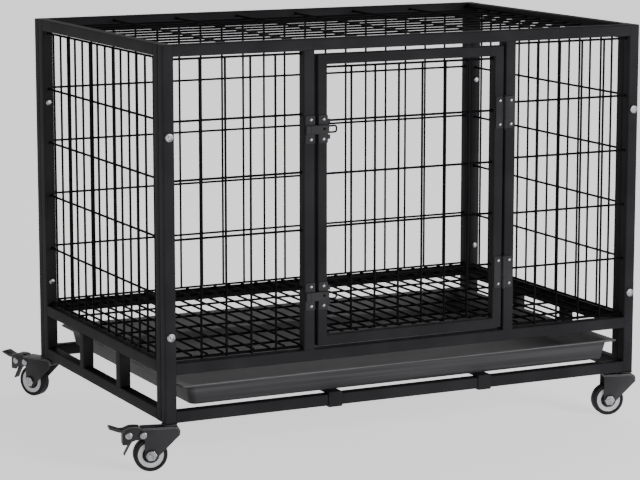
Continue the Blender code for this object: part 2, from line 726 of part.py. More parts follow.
for level, centre in zip(("lower", "upper"), LATCH_HEIGHTS, strict=True):
    low = centre - LATCH_PLATE_LENGTH / 2
    high = centre + LATCH_PLATE_LENGTH / 2
    block_low = centre - LATCH_BLOCK_HALF
    block_high = centre + LATCH_BLOCK_HALF
    keeper = boxes("keeper", [(keeper_block_left, OPENING_LEFT - 0.0005, plate_front, -GAP, low, high)])
    raised = boxes(
        "raised", [(keeper_block_left, housing_left - 0.0005, block_front, plate_front + 0.001, block_low, block_high)]
    )
    screws = rivet_heads(
        [(OPENING_LEFT - 0.0093, centre + s * LATCH_SCREW_SPREAD) for s in (-1, 1)], plate_front
    )
    united(keeper, [raised] + screws)
    cut(keeper, rod_bores(keeper_block_left - 0.01, housing_left + 0.01, centre))
    keep(keeper, f"latch_keeper_{level}", GREY_PLATE)
    housing = boxes("housing", [(door_left + 0.0005, housing_right, plate_front, -GAP, low, high)])
    block = boxes(
        "block", [(housing_left, housing_right, block_front, plate_front - GAP, block_low, block_high)]
    )
    foot = boxes(
        "foot",
        [(door_left + 0.0010, housing_right - 0.0005, plate_front - 0.001, plate_front + 0.001, block_low, block_high)],
    )
    ears = boxes(
        "ears",
        [
            (housing_right - 0.001, housing_right + 0.0055, plate_front, -GAP, centre + 0.0115, centre + 0.0215),
            (housing_right - 0.001, housing_right + 0.0055, plate_front, -GAP, centre - 0.0215, centre - 0.0115),
        ],
    )
    screws = rivet_heads(
        [(door_left + 0.0125, centre + s * LATCH_SCREW_SPREAD) for s in (-1, 1)], plate_front
    )
    united(housing, [foot, block, ears] + screws)
    cut(housing, rod_bores(housing_left - 0.01, housing_right + 0.01, centre))
    keep(housing, f"latch_housing_{level}", GREY_PLATE)
    rings = []
    path = [(rod_tip, 1.0), (rod_bend - 0.004, 1.0), (rod_bend, 0.55), (rod_bend, -0.55), (rod_bend - 0.004, -1.0)]
    path.append((rod_tip, -1.0))
    turns = (180, 180 - 22.5, 90 + 22.5, 90 - 22.5, 22.5, 0)
    for (x, side), angle in zip(path, turns, strict=True):
        way = Vector((-math.cos(math.radians(angle)), 0, -math.sin(math.radians(angle))))
        aside = Vector((0, 1, 0))
        across = way.cross(aside)
        heart = Vector((x, rod_y, centre + side * LATCH_ROD_SPREAD))
        stretch = 1 / math.cos(math.radians(22.5)) if 0 < angle < 180 else 1.0
        rings.append(
            [heart + aside * u + across * (v * stretch) for u, v in disc(LATCH_ROD_RADIUS, 8, math.pi / 8)]
        )
    keep(loft("rod", rings), f"latch_rod_{level}", GREY_PLATE)

# Casters, drawn about their swivel axis with u pointing from the axis to the wheel, then turned to face their way
axle_z = WHEEL_RADIUS - FRAME_CLEARANCE
fork_top = -GAP - STEM_FLANGE_THICKNESS - GAP
fork_under = fork_top - FORK_TOP_PLATE
fork_outer_half = FORK_INNER_HALF + FORK_PLATE
stem_profile = [
    (STEM_RADIUS, STEM_LENGTH),
    (STEM_RADIUS, -GAP),
    (STEM_FLANGE_RADIUS, -GAP),
    (STEM_FLANGE_RADIUS, -GAP - STEM_FLANGE_THICKNESS),
    (STEM_NECK_RADIUS, -GAP - STEM_FLANGE_THICKNESS),
    (STEM_NECK_RADIUS, fork_under - GAP),
    (STEM_HEAD_RADIUS, fork_under - GAP),
    (STEM_HEAD_RADIUS, fork_under - GAP - STEM_HEAD_THICKNESS),
]
cheek_arc = []
for angle in (0, -27, -54, -81, -108, -135):
    turn = math.radians(angle)
    cheek_arc.append((TRAIL + CHEEK_END * math.cos(turn), axle_z + CHEEK_END * math.sin(turn)))
pivot_z = -PIVOT_DROP
shoulder = []
for angle in (180, 157.5, 135, 112.5, 90):
    turn = math.radians(angle)
    shoulder.append(
        (
            FORK_SHOULDER - FORK_NOSE + FORK_SHOULDER * math.cos(turn),
            fork_top - FORK_SHOULDER + FORK_SHOULDER * math.sin(turn),
        )
    )
fork_end = TRAIL + CHEEK_END
plain_cheek = [(-FORK_NOSE, -0.023)] + shoulder + [(fork_end, fork_top)] + cheek_arc
braked_cheek = [(-FORK_NOSE, -0.023)] + shoulder
braked_cheek += [
    (fork_end, fork_top),
    (PIVOT_U + 0.0065, pivot_z + 0.0075),
    (PIVOT_U + 0.0085, pivot_z),
    (PIVOT_U + 0.0050, pivot_z - 0.0080),
    (fork_end, pivot_z - 0.0110),
]
braked_cheek += cheek_arc
hub_half = WHEEL_WIDTH / 2 + 0.0015
# The tyre has flats, and stands on one of them
tread = WHEEL_RADIUS / math.cos(math.pi / TYRE_SIDES)
tyre_profile = [
    (HUB_RADIUS + GAP, -WHEEL_WIDTH / 2),
    (tread - 0.003, -WHEEL_WIDTH / 2),
    (tread, -WHEEL_WIDTH / 2 + 0.004),
    (tread, WHEEL_WIDTH / 2 - 0.004),
    (tread - 0.003, WHEEL_WIDTH / 2),
    (HUB_RADIUS + GAP, WHEEL_WIDTH / 2),
]
hub_profile = [
    (AXLE_RADIUS + 2 * GAP, -hub_half),
    (0.0100, -hub_half),
    (HUB_RADIUS, -WHEEL_WIDTH / 2),
    (HUB_RADIUS, WHEEL_WIDTH / 2),
    (0.0100, hub_half),
    (AXLE_RADIUS + 2 * GAP, hub_half),
]


def cross_pin(name, u, height, levels):
    """A solid along local v made of round or hexagonal levels: (v, radius, hexagonal)."""
    rings = []
    for v, radius, hexagonal in levels:
        ring = []
        for i in range(12):
            angle = math.radians(30 * i)
            reach = radius * (math.cos(math.radians(30)) if hexagonal and i % 2 else 1.0)
            ring.append((u + reach * math.cos(angle), v, height + reach * math.sin(angle)))
        rings.append(ring)
    return loft(name, rings)


def upright_slab(name, outline, v_low, v_high):
    """An outline of u and height, from local v v_low to v_high."""
    return loft(name, [[(u, v, z) for u, z in outline] for v in (v_low, v_high)])


swivels = {}
for corner, yaw in CASTER_YAWS.items():
    axis_x = POST_XS[0] if corner.endswith("left") else POST_XS[1]
    axis_y = POST_CENTRE if corner.startswith("front") else FRAME_DEPTH - POST_CENTRE
    swivels[corner] = (axis_x, axis_y)
    place = Matrix.Translation((axis_x, axis_y, 0)) @ Matrix.Rotation(math.radians(180 + yaw), 4, "Z")
    stem = turned("stem", stem_profile, 12)
    keep(placed(stem, Matrix.Translation((axis_x, axis_y, 0))), f"caster_stem_{corner}", BLACK, 0.3)
    braked = corner in BRAKED
    cheek = braked_cheek if braked else plain_cheek
    fork = boxes("fork", [(FORK_SHOULDER - FORK_NOSE, fork_end, -fork_outer_half, fork_outer_half, fork_under, fork_top)])
    cheeks = [
        upright_slab("cheek", cheek, -fork_outer_half, -FORK_INNER_HALF),
        upright_slab("cheek", cheek, FORK_INNER_HALF, fork_outer_half),
    ]
    united(fork, cheeks)
    drills = [turned("hole", [(clear_bore(STEM_NECK_RADIUS), -0.02), (clear_bore(STEM_NECK_RADIUS), 0.01)], 8)]
    drills.append(cross_pin("hole", TRAIL, axle_z, [(s * 0.03, AXLE_RADIUS + GAP, False) for s in (-1, 1)]))
    if braked:
        drills.append(
            cross_pin("hole", PIVOT_U, pivot_z, [(s * 0.03, PEDAL_PIN_RADIUS + GAP, False) for s in (-1, 1)])
        )
    keep(placed(cut(fork, drills), place), f"caster_fork_{corner}", BLACK, 0.3)
    to_axle = place @ Matrix.Translation((TRAIL, 0, axle_z)) @ Matrix.Rotation(math.radians(90), 4, "X")
    keep(placed(turned_ring("tyre", tyre_profile, TYRE_SIDES), to_axle), f"caster_tyre_{corner}", TYRE_BLACK, 0, 0.7)
    keep(placed(turned_ring("hub", hub_profile, TYRE_SIDES), to_axle), f"caster_hub_{corner}", HUB_GREY, 0, 0.4)
    outside = fork_outer_half + GAP
    axle = cross_pin(
        "axle",
        TRAIL,
        axle_z,
        [
            (-outside - AXLE_HEAD_HEIGHT, AXLE_HEAD_RADIUS * 0.85, True),
            (-outside - AXLE_HEAD_HEIGHT * 0.7, AXLE_HEAD_RADIUS, True),
            (-outside, AXLE_HEAD_RADIUS, True),
            (-outside, AXLE_RADIUS, False),
            (outside, AXLE_RADIUS, False),
            (outside, AXLE_HEAD_RADIUS, True),
            (outside + AXLE_HEAD_HEIGHT * 0.8, AXLE_HEAD_RADIUS * 0.95, True),
        ],
    )
    keep(placed(axle, place), f"caster_axle_{corner}", SILVER, 1.0, 0.3)
    if not braked:
        continue
    lever_outline = [
        (PIVOT_U - 0.0070, pivot_z - 0.0030),
        (PIVOT_U - 0.0055, pivot_z + 0.0060),
        (PIVOT_U + 0.0030, -0.0080),
        (PIVOT_U + 0.0055, -0.0025),
        (0.0670, -0.0008),
        (0.0860, -0.0008),
        (0.0990, -0.0055),
        (0.1160, -0.0025),
        (0.1290, -0.0008),
        (0.1300, -0.0042),
        (0.1175, -0.0066),
        (0.1015, -0.0096),
        (0.1005, -0.0125),
        (0.1000, -0.0380),
        (0.0845, -0.0380),
        (0.0780, -0.0320),
        (PIVOT_U - 0.0020, pivot_z - 0.0080),
    ]
    lever = upright_slab("lever", lever_outline, -PEDAL_HALF_WIDTH, PEDAL_HALF_WIDTH)
    cut(lever, [boxes("pocket", [(0.0670, 0.0975, -0.0090, 0.0090, -0.0500, -0.0080)])])
    tab_outline = [
        (0.0790, -0.0250),
        (0.0812, -0.0250),
        (0.0842, -0.0400),
        (0.0900, -0.0520),
        (0.0960, -0.0640),
        (0.0936, -0.0645),
        (0.0880, -0.0530),
        (0.0820, -0.0410),
    ]
    tab = upright_slab("tab", tab_outline, -0.0095, 0.0095)
    rivet_half = PEDAL_HALF_WIDTH + 0.0018
    pin_half = fork_outer_half + GAP + 0.0022
    pivot_pin = cross_pin(
        "pivot",
        PIVOT_U,
        pivot_z,
        [
            (-pin_half, PEDAL_RIVET_RADIUS * 0.8, False),
            (-outside, PEDAL_RIVET_RADIUS, False),
            (-outside, PEDAL_PIN_RADIUS, False),
            (outside, PEDAL_PIN_RADIUS, False),
            (outside, PEDAL_RIVET_RADIUS, False),
            (pin_half, PEDAL_RIVET_RADIUS * 0.8, False),
        ],
    )
    rivet = cross_pin(
        "rivet",
        0.0870,
        -0.0195,
        [
            (-rivet_half, PEDAL_RIVET_RADIUS * 0.8, False),
            (-PEDAL_HALF_WIDTH + 0.0002, PEDAL_RIVET_RADIUS, False),
            (-PEDAL_HALF_WIDTH + 0.0002, PEDAL_PIN_RADIUS, False),
            (PEDAL_HALF_WIDTH - 0.0002, PEDAL_PIN_RADIUS, False),
            (PEDAL_HALF_WIDTH - 0.0002, PEDAL_RIVET_RADIUS, False),
            (rivet_half, PEDAL_RIVET_RADIUS * 0.8, False),
        ],
    )
    keep(placed(united(lever, [tab, pivot_pin, rivet]), place), f"brake_pedal_{corner}", BLACK, 0.3)

# Lift everything on to its wheels and centre the whole on the origin
bpy.context.view_layer.update()
corners = [obj.matrix_world @ Vector(corner) for obj in pieces.values() for corner in obj.bound_box]
middle_x = (min(c.x for c in corners) + max(c.x for c in corners)) / 2
middle_y = (min(c.y for c in corners) + max(c.y for c in corners)) / 2
SHIFT = Vector((-middle_x, -middle_y, -min(c.z for c in corners)))
print("shift", tuple(round(value, 6) for value in SHIFT))
for obj in pieces.values():
    obj.data.transform(Matrix.Translation(SHIFT))

# Put the origin of every moving piece on its joint axis
axes = {}
for name in ("door_frame", "door_mesh", "hinge_door_leaf_lower", "hinge_door_leaf_upper"):
    axes[name] = Vector((hinge_x, hinge_y, door_low))
for level, centre in zip(("lower", "upper"), LATCH_HEIGHTS, strict=True):
    axes[f"latch_housing_{level}"] = Vector((hinge_x, hinge_y, door_low))
    axes[f"latch_rod_{level}"] = Vector((rod_tip, rod_y, centre))
axes["tray"] = Vector((FRAME_LENGTH / 2, tray_front, tray_base))
for corner, (axis_x, axis_y) in swivels.items():
    turn = Matrix.Rotation(math.radians(180 + CASTER_YAWS[corner]), 3, "Z")
    foot = Vector((axis_x, axis_y, 0))
    axes[f"caster_fork_{corner}"] = foot
    axes[f"caster_axle_{corner}"] = foot
    for part in ("tyre", "hub"):
        axes[f"caster_{part}_{corner}"] = foot + turn @ Vector((TRAIL, 0, axle_z))
    if corner in BRAKED:
        axes[f"brake_pedal_{corner}"] = foot + turn @ Vector((PIVOT_U, 0, pivot_z))
for name, point in axes.items():
    obj = pieces[name]
    obj.data.transform(Matrix.Translation(-(point + SHIFT)))
    obj.location = point + SHIFT
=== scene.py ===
import math

import bmesh
import bpy
from mathutils import Matrix, Vector


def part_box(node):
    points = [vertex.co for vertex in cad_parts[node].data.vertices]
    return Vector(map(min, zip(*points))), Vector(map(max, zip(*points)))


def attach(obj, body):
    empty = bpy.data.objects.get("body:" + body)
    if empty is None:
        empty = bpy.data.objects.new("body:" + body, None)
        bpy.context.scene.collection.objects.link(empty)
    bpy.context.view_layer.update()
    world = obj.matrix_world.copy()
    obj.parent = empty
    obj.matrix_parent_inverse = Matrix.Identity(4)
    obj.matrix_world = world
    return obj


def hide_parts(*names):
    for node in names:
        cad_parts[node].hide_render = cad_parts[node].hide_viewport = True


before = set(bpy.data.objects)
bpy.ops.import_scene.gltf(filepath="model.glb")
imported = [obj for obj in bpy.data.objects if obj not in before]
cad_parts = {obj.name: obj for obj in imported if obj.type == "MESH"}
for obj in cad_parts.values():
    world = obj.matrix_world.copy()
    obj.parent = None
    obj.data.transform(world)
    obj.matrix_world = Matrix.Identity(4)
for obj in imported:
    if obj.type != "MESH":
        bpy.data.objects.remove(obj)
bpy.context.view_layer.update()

# Front frame
# Mild steel square tube, 25 mm, cut square, butt welded into one flat frame and powder coated black.
# The welds are dressed back nearly flush, so only a low ripple shows where a rail meets a post.

# Drawings below are in millimetres from this foot: x to the right, y to the back, z up
FOOT = Vector(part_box("front_frame")[0])
LENGTH = 1000 * (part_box("front_frame")[1].x - FOOT.x)
DEPTH = 1000 * (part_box("back_frame")[1].y - FOOT.y)
HEIGHT = 1000 * (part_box("front_frame")[1].z - FOOT.z)
TUBE = 25.0
# The tube's corner radius, and how far its ends are eased
TUBE_CORNER = 2.6
TUBE_LIP = 0.7
# A weld bead's radius, how deep its heart lies under the tube's skin, the distance between its
# ripples, and how thick every other one is, as a share
BEAD = 1.5
BEAD_SUNK = 0.9
RIPPLE = 2.2
TROUGH = 0.86
# The height of the floor rail's top, and the doorway between the two door posts
FLOOR_RAIL = 127.0
DOORWAY = (344.5, 807.5)


def linear(hex_colour):
    """The linear colour for an sRGB hex value."""
    levels = [int(hex_colour[i : i + 2], 16) / 255 for i in (1, 3, 5)]
    return (*[v / 12.92 if v <= 0.04045 else ((v + 0.055) / 1.055) ** 2.4 for v in levels], 1.0)


def add_node(tree, kind, inputs=(), tones=(), **settings):
    """Adds a node, sets it up, and fills its sockets with values or with (node, output) links.

    tones are the (place, sRGB hex) pairs of a colour ramp.
    """
    node = tree.nodes.new(kind)
    for name, value in settings.items():
        setattr(node, name, value)
    for socket, value in dict(inputs).items():
        if isinstance(value, tuple) and isinstance(value[0], bpy.types.Node):
            tree.links.new(value[0].outputs[value[1]], node.inputs[socket])
        else:
            node.inputs[socket].default_value = value
    for i, (stop, colour) in enumerate(tones):
        node.color_ramp.elements[i].position = stop
        node.color_ramp.elements[i].color = linear(colour)
    return node


def finish(name, **sockets):
    """A new material, its node tree, its object coordinates and its shader with plain values set."""
    made = bpy.data.materials.new(name)
    made.use_nodes = True
    tree = made.node_tree
    shader = tree.nodes["Principled BSDF"]
    for socket, value in sockets.items():
        shader.inputs[socket.replace("_", " ")].default_value = value
    place = add_node(tree, "ShaderNodeTexCoord")
    return made, tree, place, shader


def dress(tree, shader, colour, gloss, relief):
    """Gives a surface its colour, gloss and relief, each from a pattern and what is made of it.

    colour is (pattern, tones of a ramp), gloss is (pattern, lowest and highest roughness), and relief
    is (pattern, strength, height in metres). A pattern hardly leaves the middle range from 0.3 to 0.7.
    """
    tone = add_node(tree, "ShaderNodeValToRGB", {"Fac": colour[0]}, colour[1])
    reach = {"Value": gloss[0], "From Min": 0.3, "From Max": 0.7, "To Min": gloss[1], "To Max": gloss[2]}
    shine = add_node(tree, "ShaderNodeMapRange", reach)
    swell = {"Height": relief[0], "Strength": relief[1], "Distance": relief[2]}
    skin = add_node(tree, "ShaderNodeBump", swell)
    tree.links.new(tone.outputs["Color"], shader.inputs["Base Color"])
    tree.links.new(shine.outputs["Result"], shader.inputs["Roughness"])
    tree.links.new(skin.outputs["Normal"], shader.inputs["Normal"])


def powder_coat(name, dark, light, roughness, peel, depth, sheen):
    """Baked polyester powder: satin, faintly pebbled, a little greyer where the film lies thin.

    peel is the width of one pebble in millimetres and depth its height.
    sheen is how much the film mirrors.
    """
    made, tree, place, shader = finish(name, IOR=1.5, Specular_IOR_Level=sheen)
    clouds = {"Vector": (place, "Object"), "Scale": 9.0, "Detail": 3.0}
    film = (add_node(tree, "ShaderNodeTexNoise", clouds), "Fac")
    bumps = {"Vector": (place, "Object"), "Scale": 1000 / peel, "Detail": 2.0}
    pebble = (add_node(tree, "ShaderNodeTexNoise", bumps), "Fac")
    tones = ((0.38, dark), (0.66, light))
    gloss = (pebble, roughness - 0.05, roughness + 0.06)
    dress(tree, shader, (film, tones), gloss, (pebble, 0.5, depth / 1000))
    return made


# Satin black with a faint orange peel. The real peel is about 1.5 mm wide, and it is drawn at 3 mm
# so that it shows at a step away
TUBE_COAT = powder_coat("black_powder_coat_on_tube", "#222123", "#29282a", 0.66, 3.0, 0.02, 0.04)


def loft(rings):
    """A closed solid through rings of equal point counts."""
    count = len(rings[0])
    points = [Vector(point) for ring in rings for point in ring]
    faces = [list(range(count)), list(range(len(points) - count, len(points)))]
    for level in range(len(rings) - 1):
        for step in range(count):
            after = (step + 1) % count
            low, high = level * count, (level + 1) * count
            faces.append([low + step, low + after, high + after, high + step])
    return points, faces


def rounded_ring(half_wide, half_high, corner, steps=4):
    """The outline of a rounded rectangle about its centre."""
    ring = []
    for right, up, start in ((1, -1, -90), (1, 1, 0), (-1, 1, 90), (-1, -1, 180)):
        for step in range(steps + 1):
            turn = math.radians(start + 90 * step / steps)
            ring.append(
                (
                    right * (half_wide - corner) + corner * math.cos(turn),
                    up * (half_high - corner) + corner * math.sin(turn),
                )
            )
    return ring


def standing_on(axis, across, up, along):
    """The point this far along an axis (0, 1 or 2), and across and up on the two axes after it."""
    point = [0.0, 0.0, 0.0]
    point[axis] = along
    point[(axis + 1) % 3] = across
    point[(axis + 2) % 3] = up
    return tuple(point)


def tube(x, y, z, axis):
    """A length of square tube between two places each way, with its ends closed and just eased."""
    spans = (x, y, z)
    (a0, a1), (b0, b1), (c0, c1) = spans[axis], spans[(axis + 1) % 3], spans[(axis + 2) % 3]
    rings = []
    for along, inset in ((a0, TUBE_LIP), (a0 + TUBE_LIP, 0), (a1 - TUBE_LIP, 0), (a1, TUBE_LIP)):
        outline = rounded_ring((b1 - b0) / 2 - inset, (c1 - c0) / 2 - inset, TUBE_CORNER)
        heart = ((b0 + b1) / 2, (c0 + c1) / 2)
        rings.append([standing_on(axis, heart[0] + b, heart[1] + c, along) for b, c in outline])
    return loft(rings)


def weld(x, y, z, axis):
    """A rippled bead round a square tube where it meets a side, ground flush on top.

    One of x, y and z is a single place.
    """
    spans = [value if isinstance(value, tuple) else (value, value) for value in (x, y, z)]
    along = spans[axis][0]
    (b0, b1), (c0, c1) = spans[(axis + 1) % 3], spans[(axis + 2) % 3]
    path = []
    outline = rounded_ring((b1 - b0) / 2 - BEAD_SUNK, (c1 - c0) / 2 - BEAD_SUNK, 2.0, 2)
    for i, (b, c) in enumerate(outline):
        following = outline[(i + 1) % len(outline)]
        steps = max(1, round(math.dist((b, c), following) / RIPPLE))
        for step in range(steps):
            share = step / steps
            path.append((b + (following[0] - b) * share, c + (following[1] - c) * share))
    points = []
    faces = []
    sides = 6
    for i, (b, c) in enumerate(path):
        reach = math.hypot(b, c)
        thick = BEAD * (1.0 if i % 2 else TROUGH)
        for side in range(sides):
            turn = 2 * math.pi * side / sides
            out = 1 + thick * math.cos(turn) / reach
            place = ((b0 + b1) / 2 + b * out, (c0 + c1) / 2 + c * out, along + thick * math.sin(turn))
            point = Vector(standing_on(axis, *place))
            point.z = min(point.z, HEIGHT)
            points.append(point)
    for i in range(len(path)):
        here, there = i * sides, (i + 1) % len(path) * sides
        for side in range(sides):
            after = (side + 1) % sides
            faces.append([here + side, here + after, there + after, there + side])
    return points, faces


# Edges that turn by more than this many degrees stay crisp, and flatter ones are shaded as round
CRISP = 38


def piece(name, coats, body, nodes, place=Matrix()):
    """One object from (material, parts) pairs, hung on its body and standing for its CAD nodes."""
    points, faces, numbers = [], [], []
    mesh = bpy.data.meshes.new(name)
    for number, (coat, parts) in enumerate(coats):
        mesh.materials.append(coat)
        for corners, sides in parts:
            base = len(points)
            points += [FOOT + (place @ Vector(corner)) / 1000 for corner in corners]
            faces += [[base + i for i in side] for side in sides]
            numbers += [number] * len(sides)
    mesh.from_pydata(points, [], faces)
    mesh.polygons.foreach_set("material_index", numbers)
    work = bmesh.new()
    work.from_mesh(mesh)
    # Surfaces of one sheet that differ in colour are joined along their common edge
    bmesh.ops.remove_doubles(work, verts=work.verts, dist=0.000001)
    bmesh.ops.recalc_face_normals(work, faces=work.faces)
    work.to_mesh(mesh)
    work.free()
    mesh.shade_smooth()
    mesh.set_sharp_from_angle(angle=math.radians(CRISP))
    made = bpy.data.objects.new(name, mesh)
    bpy.context.scene.collection.objects.link(made)
    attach(made, body)
    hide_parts(*nodes)
    return made


def upright_frame(y, door_posts):
    """The tubes and welds of the front or back frame, between two depths."""
    ends = (TUBE, LENGTH - TUBE)
    parts = [tube((0, TUBE), y, (0, HEIGHT), 2), tube((LENGTH - TUBE, LENGTH), y, (0, HEIGHT), 2)]
    for low in (0, FLOOR_RAIL - TUBE, HEIGHT - TUBE):
        parts.append(tube(ends, y, (low, low + TUBE), 0))
        parts += [weld(end, y, (low, low + TUBE), 0) for end in ends]
    for x in door_posts:
        parts.append(tube(x, y, (FLOOR_RAIL, HEIGHT - TUBE), 2))
        parts += [weld(x, y, end, 2) for end in (FLOOR_RAIL, HEIGHT - TUBE)]
    return parts


door_posts = ((DOORWAY[0] - TUBE, DOORWAY[0]), (DOORWAY[1], DOORWAY[1] + TUBE))
parts = upright_frame((0.0, TUBE), door_posts)
piece("front_frame_tubes", [(TUBE_COAT, parts)], "cage", ["front_frame"])

# Back frame
# The same coated tube: two full-height posts with a bottom, a floor and a top rail welded between them.
parts = upright_frame((DEPTH - TUBE, DEPTH), ())
piece("back_frame_tubes", [(TUBE_COAT, parts)], "cage", ["back_frame"])

# Side frames
# Two narrower frames of the same tube, which stand between the front and the back one and are bolted
# to them. Each has three rails, and two short stubs that tie the floor rail to the bottom rail.
JOINT_GAP = 0.3
# Each stub's distance from the middle of the side
STUB_STEP = 110.0
side_y = (TUBE + JOINT_GAP, DEPTH - TUBE - JOINT_GAP)
side_inner = (side_y[0] + TUBE, side_y[1] - TUBE)
for side, x in (("left", (0, TUBE)), ("right", (LENGTH - TUBE, LENGTH))):
    parts = [tube(x, (y, y + TUBE), (0, HEIGHT), 2) for y in (side_y[0], side_inner[1])]
    for low in (0, FLOOR_RAIL - TUBE, HEIGHT - TUBE):
        parts.append(tube(x, side_inner, (low, low + TUBE), 1))
        parts += [weld(x, end, (low, low + TUBE), 1) for end in side_inner]
    for stub in (DEPTH / 2 - STUB_STEP, DEPTH / 2 + STUB_STEP):
        y = (stub - TUBE / 2, stub + TUBE / 2)
        parts.append(tube(x, y, (TUBE, FLOOR_RAIL - TUBE), 2))
        parts += [weld(x, y, end, 2) for end in (TUBE, FLOOR_RAIL - TUBE)]
    piece(f"{side}_side_frame_tubes", [(TUBE_COAT, parts)], "cage", [f"{side}_side_frame"])

# Wire panels of the walls
# Drawn steel wire, 5 mm over its thick coat, laid in two layers, spot welded where they cross and
# powder coated black. The rows run to the posts and are tacked there, so each end swells into a weld.

# The wire's radius, how deep two layers sink into each other, how far each then lies from the plane
# between them, and the gap from a rail to the end rows
WIRE = 2.5
SINK = 0.8
LAYER = WIRE - SINK / 2
END_ROW = 6.0
WIRE_SIDES = 10
ROWS = 6
FRONT_UPRIGHTS = 4
BACK_UPRIGHTS = 19
SIDE_UPRIGHTS = 14
# The gap beside a post as a share of the pitch
FRONT_GAP = 1.07
# The outer rows stand 128 mm from the next ones where the panel is 625 mm high
OUTER_STEP = 128.0
PANEL_HEIGHT = 625
# Deep black with hardly a shine. Wire shows a finer pebble than tube, about 1.2 mm wide
WIRE_COAT = powder_coat("black_powder_coat_on_wire", "#0e0d0f", "#141315", 0.66, 1.2, 0.01, 0.02)


def wire(start, end, tacked=False):
    """A straight round wire between two points, cut clean or tacked at both ends."""
    start, end = Vector(start), Vector(end)
    way = (end - start).normalized()
    aside = Vector((way.y, way.z, way.x))
    over = way.cross(aside)
    reach = (end - start).length
    # Distances from an end, each with the wire's thickness there as a share of its own
    swell = ((0, 1.55), (0.9, 1.4), (2.2, 1.0)) if tacked else ((0, 0.8), (0.4, 1.0))
    stops = [(along, WIRE * thick) for along, thick in swell]
    stops += [(reach - along, WIRE * thick) for along, thick in reversed(swell)]
    turns = [2 * math.pi * side / WIRE_SIDES for side in range(WIRE_SIDES)]
    spokes = [aside * math.cos(turn) + over * math.sin(turn) for turn in turns]
    return loft([[start + way * along + spoke * radius for spoke in spokes] for along, radius in stops])


def spread(count, low, high, low_share, high_share):
    """Even places between two edges. Each end gap is a share of the pitch."""
    pitch = (high - low) / (count - 1 + low_share + high_share)
    return [low + pitch * (low_share + i) for i in range(count)]


def row_heights(low, high):
    """Six rows, the outer two intervals slightly wider than the rest."""
    end = OUTER_STEP * (high - low) / PANEL_HEIGHT
    inner = (high - low - 2 * end) / (ROWS - 3)
    return [low] + [low + end + inner * i for i in range(ROWS - 2)] + [high]


def wall_panel(uprights, rows, ends, middle, outside, axis):
    """A panel in the plane at middle. Its rows run along x where axis is 0, and along y where it is 1.

    The uprights lie on the side named by outside, 1 or -1, and the rows behind them.
    """
    outer, inner = middle + outside * LAYER, middle - outside * LAYER
    parts = []
    for place in uprights:
        x, y = (place, outer) if axis == 0 else (outer, place)
        parts.append(wire((x, y, rows[0] - WIRE), (x, y, rows[-1] + WIRE)))
    for height in rows:
        if axis == 0:
            parts.append(wire((ends[0], inner, height), (ends[1], inner, height), True))
        else:
            parts.append(wire((inner, ends[0], height), (inner, ends[1], height), True))
    return parts


wall_rows = row_heights(FLOOR_RAIL + END_ROW, HEIGHT - TUBE - END_ROW)
# The middle of a tube, where the panels, the bolts and the casters have their middle too
middle = TUBE / 2
for name, low, high in (
    ("front_left", TUBE, DOORWAY[0] - TUBE),
    ("front_right", DOORWAY[1] + TUBE, LENGTH - TUBE),
):
    uprights = spread(FRONT_UPRIGHTS, low, high, FRONT_GAP, FRONT_GAP)
    parts = wall_panel(uprights, wall_rows, (low, high), middle, -1, 0)
    piece(f"{name}_wires", [(WIRE_COAT, parts)], "cage", [f"{name}_mesh"])
uprights = spread(BACK_UPRIGHTS, TUBE, LENGTH - TUBE, 1.0, 1.0)
parts = wall_panel(uprights, wall_rows, (TUBE, LENGTH - TUBE), DEPTH - middle, 1, 0)
piece("back_wires", [(WIRE_COAT, parts)], "cage", ["back_mesh"])
for side, shares, plane, outside in (
    ("left", (0.5, 1.0), middle, -1),
    ("right", (1.0, 0.5), LENGTH - middle, 1),
):
    uprights = spread(SIDE_UPRIGHTS, *side_inner, *shares)
    parts = wall_panel(uprights, wall_rows, side_inner, plane, outside, 1)
    piece(f"{side}_wires", [(WIRE_COAT, parts)], "cage", [f"{side}_mesh"])

# Top panel
# The same coated wire. Eight cross wires run from the front top rail to the back one, tacked to both,
# and eleven long wires hang welded under them, ending at the outer cross wires.
CROSS_WIRES = 8
LONG_WIRES = 11
upper, lower = HEIGHT - middle + LAYER, HEIGHT - middle - LAYER
cross_xs = spread(CROSS_WIRES, TUBE + END_ROW, LENGTH - TUBE - END_ROW, 0, 0)
long_ys = spread(LONG_WIRES, TUBE, DEPTH - TUBE, 1, 1)
ends = (cross_xs[0] - WIRE, cross_xs[-1] + WIRE)
parts = [wire((x, TUBE, upper), (x, DEPTH - TUBE, upper), True) for x in cross_xs]
parts += [wire((ends[0], y, lower), (ends[1], y, lower)) for y in long_ys]
piece("top_wires", [(WIRE_COAT, parts)], "cage", ["top_mesh"])

# Floor grid
# A close grid of the same wire that the dog stands on. Eight long wires carry it, six of them on the
# side frames' floor rails, and thirty-one wires are welded across them, 36 mm apart, so that waste
# falls through to the tray.
GRID_WIRES = 31
GRID_BEARERS = 6
# Distances in from the cage's outside: the end cross wires, the edge wires, the outer bearers,
# and the bearers' ends on the rails
GRID_END = 36.0
GRID_EDGE = 34.0
GRID_BEARER = 96.0
GRID_REST = 17.0
grid_low = FLOOR_RAIL + JOINT_GAP + WIRE
grid_high = grid_low + 2 * LAYER
grid_xs = spread(GRID_WIRES, GRID_END, LENGTH - GRID_END, 0, 0)
bearers = spread(GRID_BEARERS, GRID_BEARER, DEPTH - GRID_BEARER, 0, 0)
grid_ys = [GRID_EDGE, *bearers, DEPTH - GRID_EDGE]
ends = (grid_ys[0] - WIRE, grid_ys[-1] + WIRE)
parts = [wire((x, ends[0], grid_high), (x, ends[1], grid_high)) for x in grid_xs]
for y in grid_ys:
    start = GRID_REST if y in bearers else GRID_EDGE
    parts.append(wire((start, y, grid_low), (LENGTH - start, y, grid_low)))
piece("floor_grid_wires", [(WIRE_COAT, parts)], "cage", ["floor_grid"])

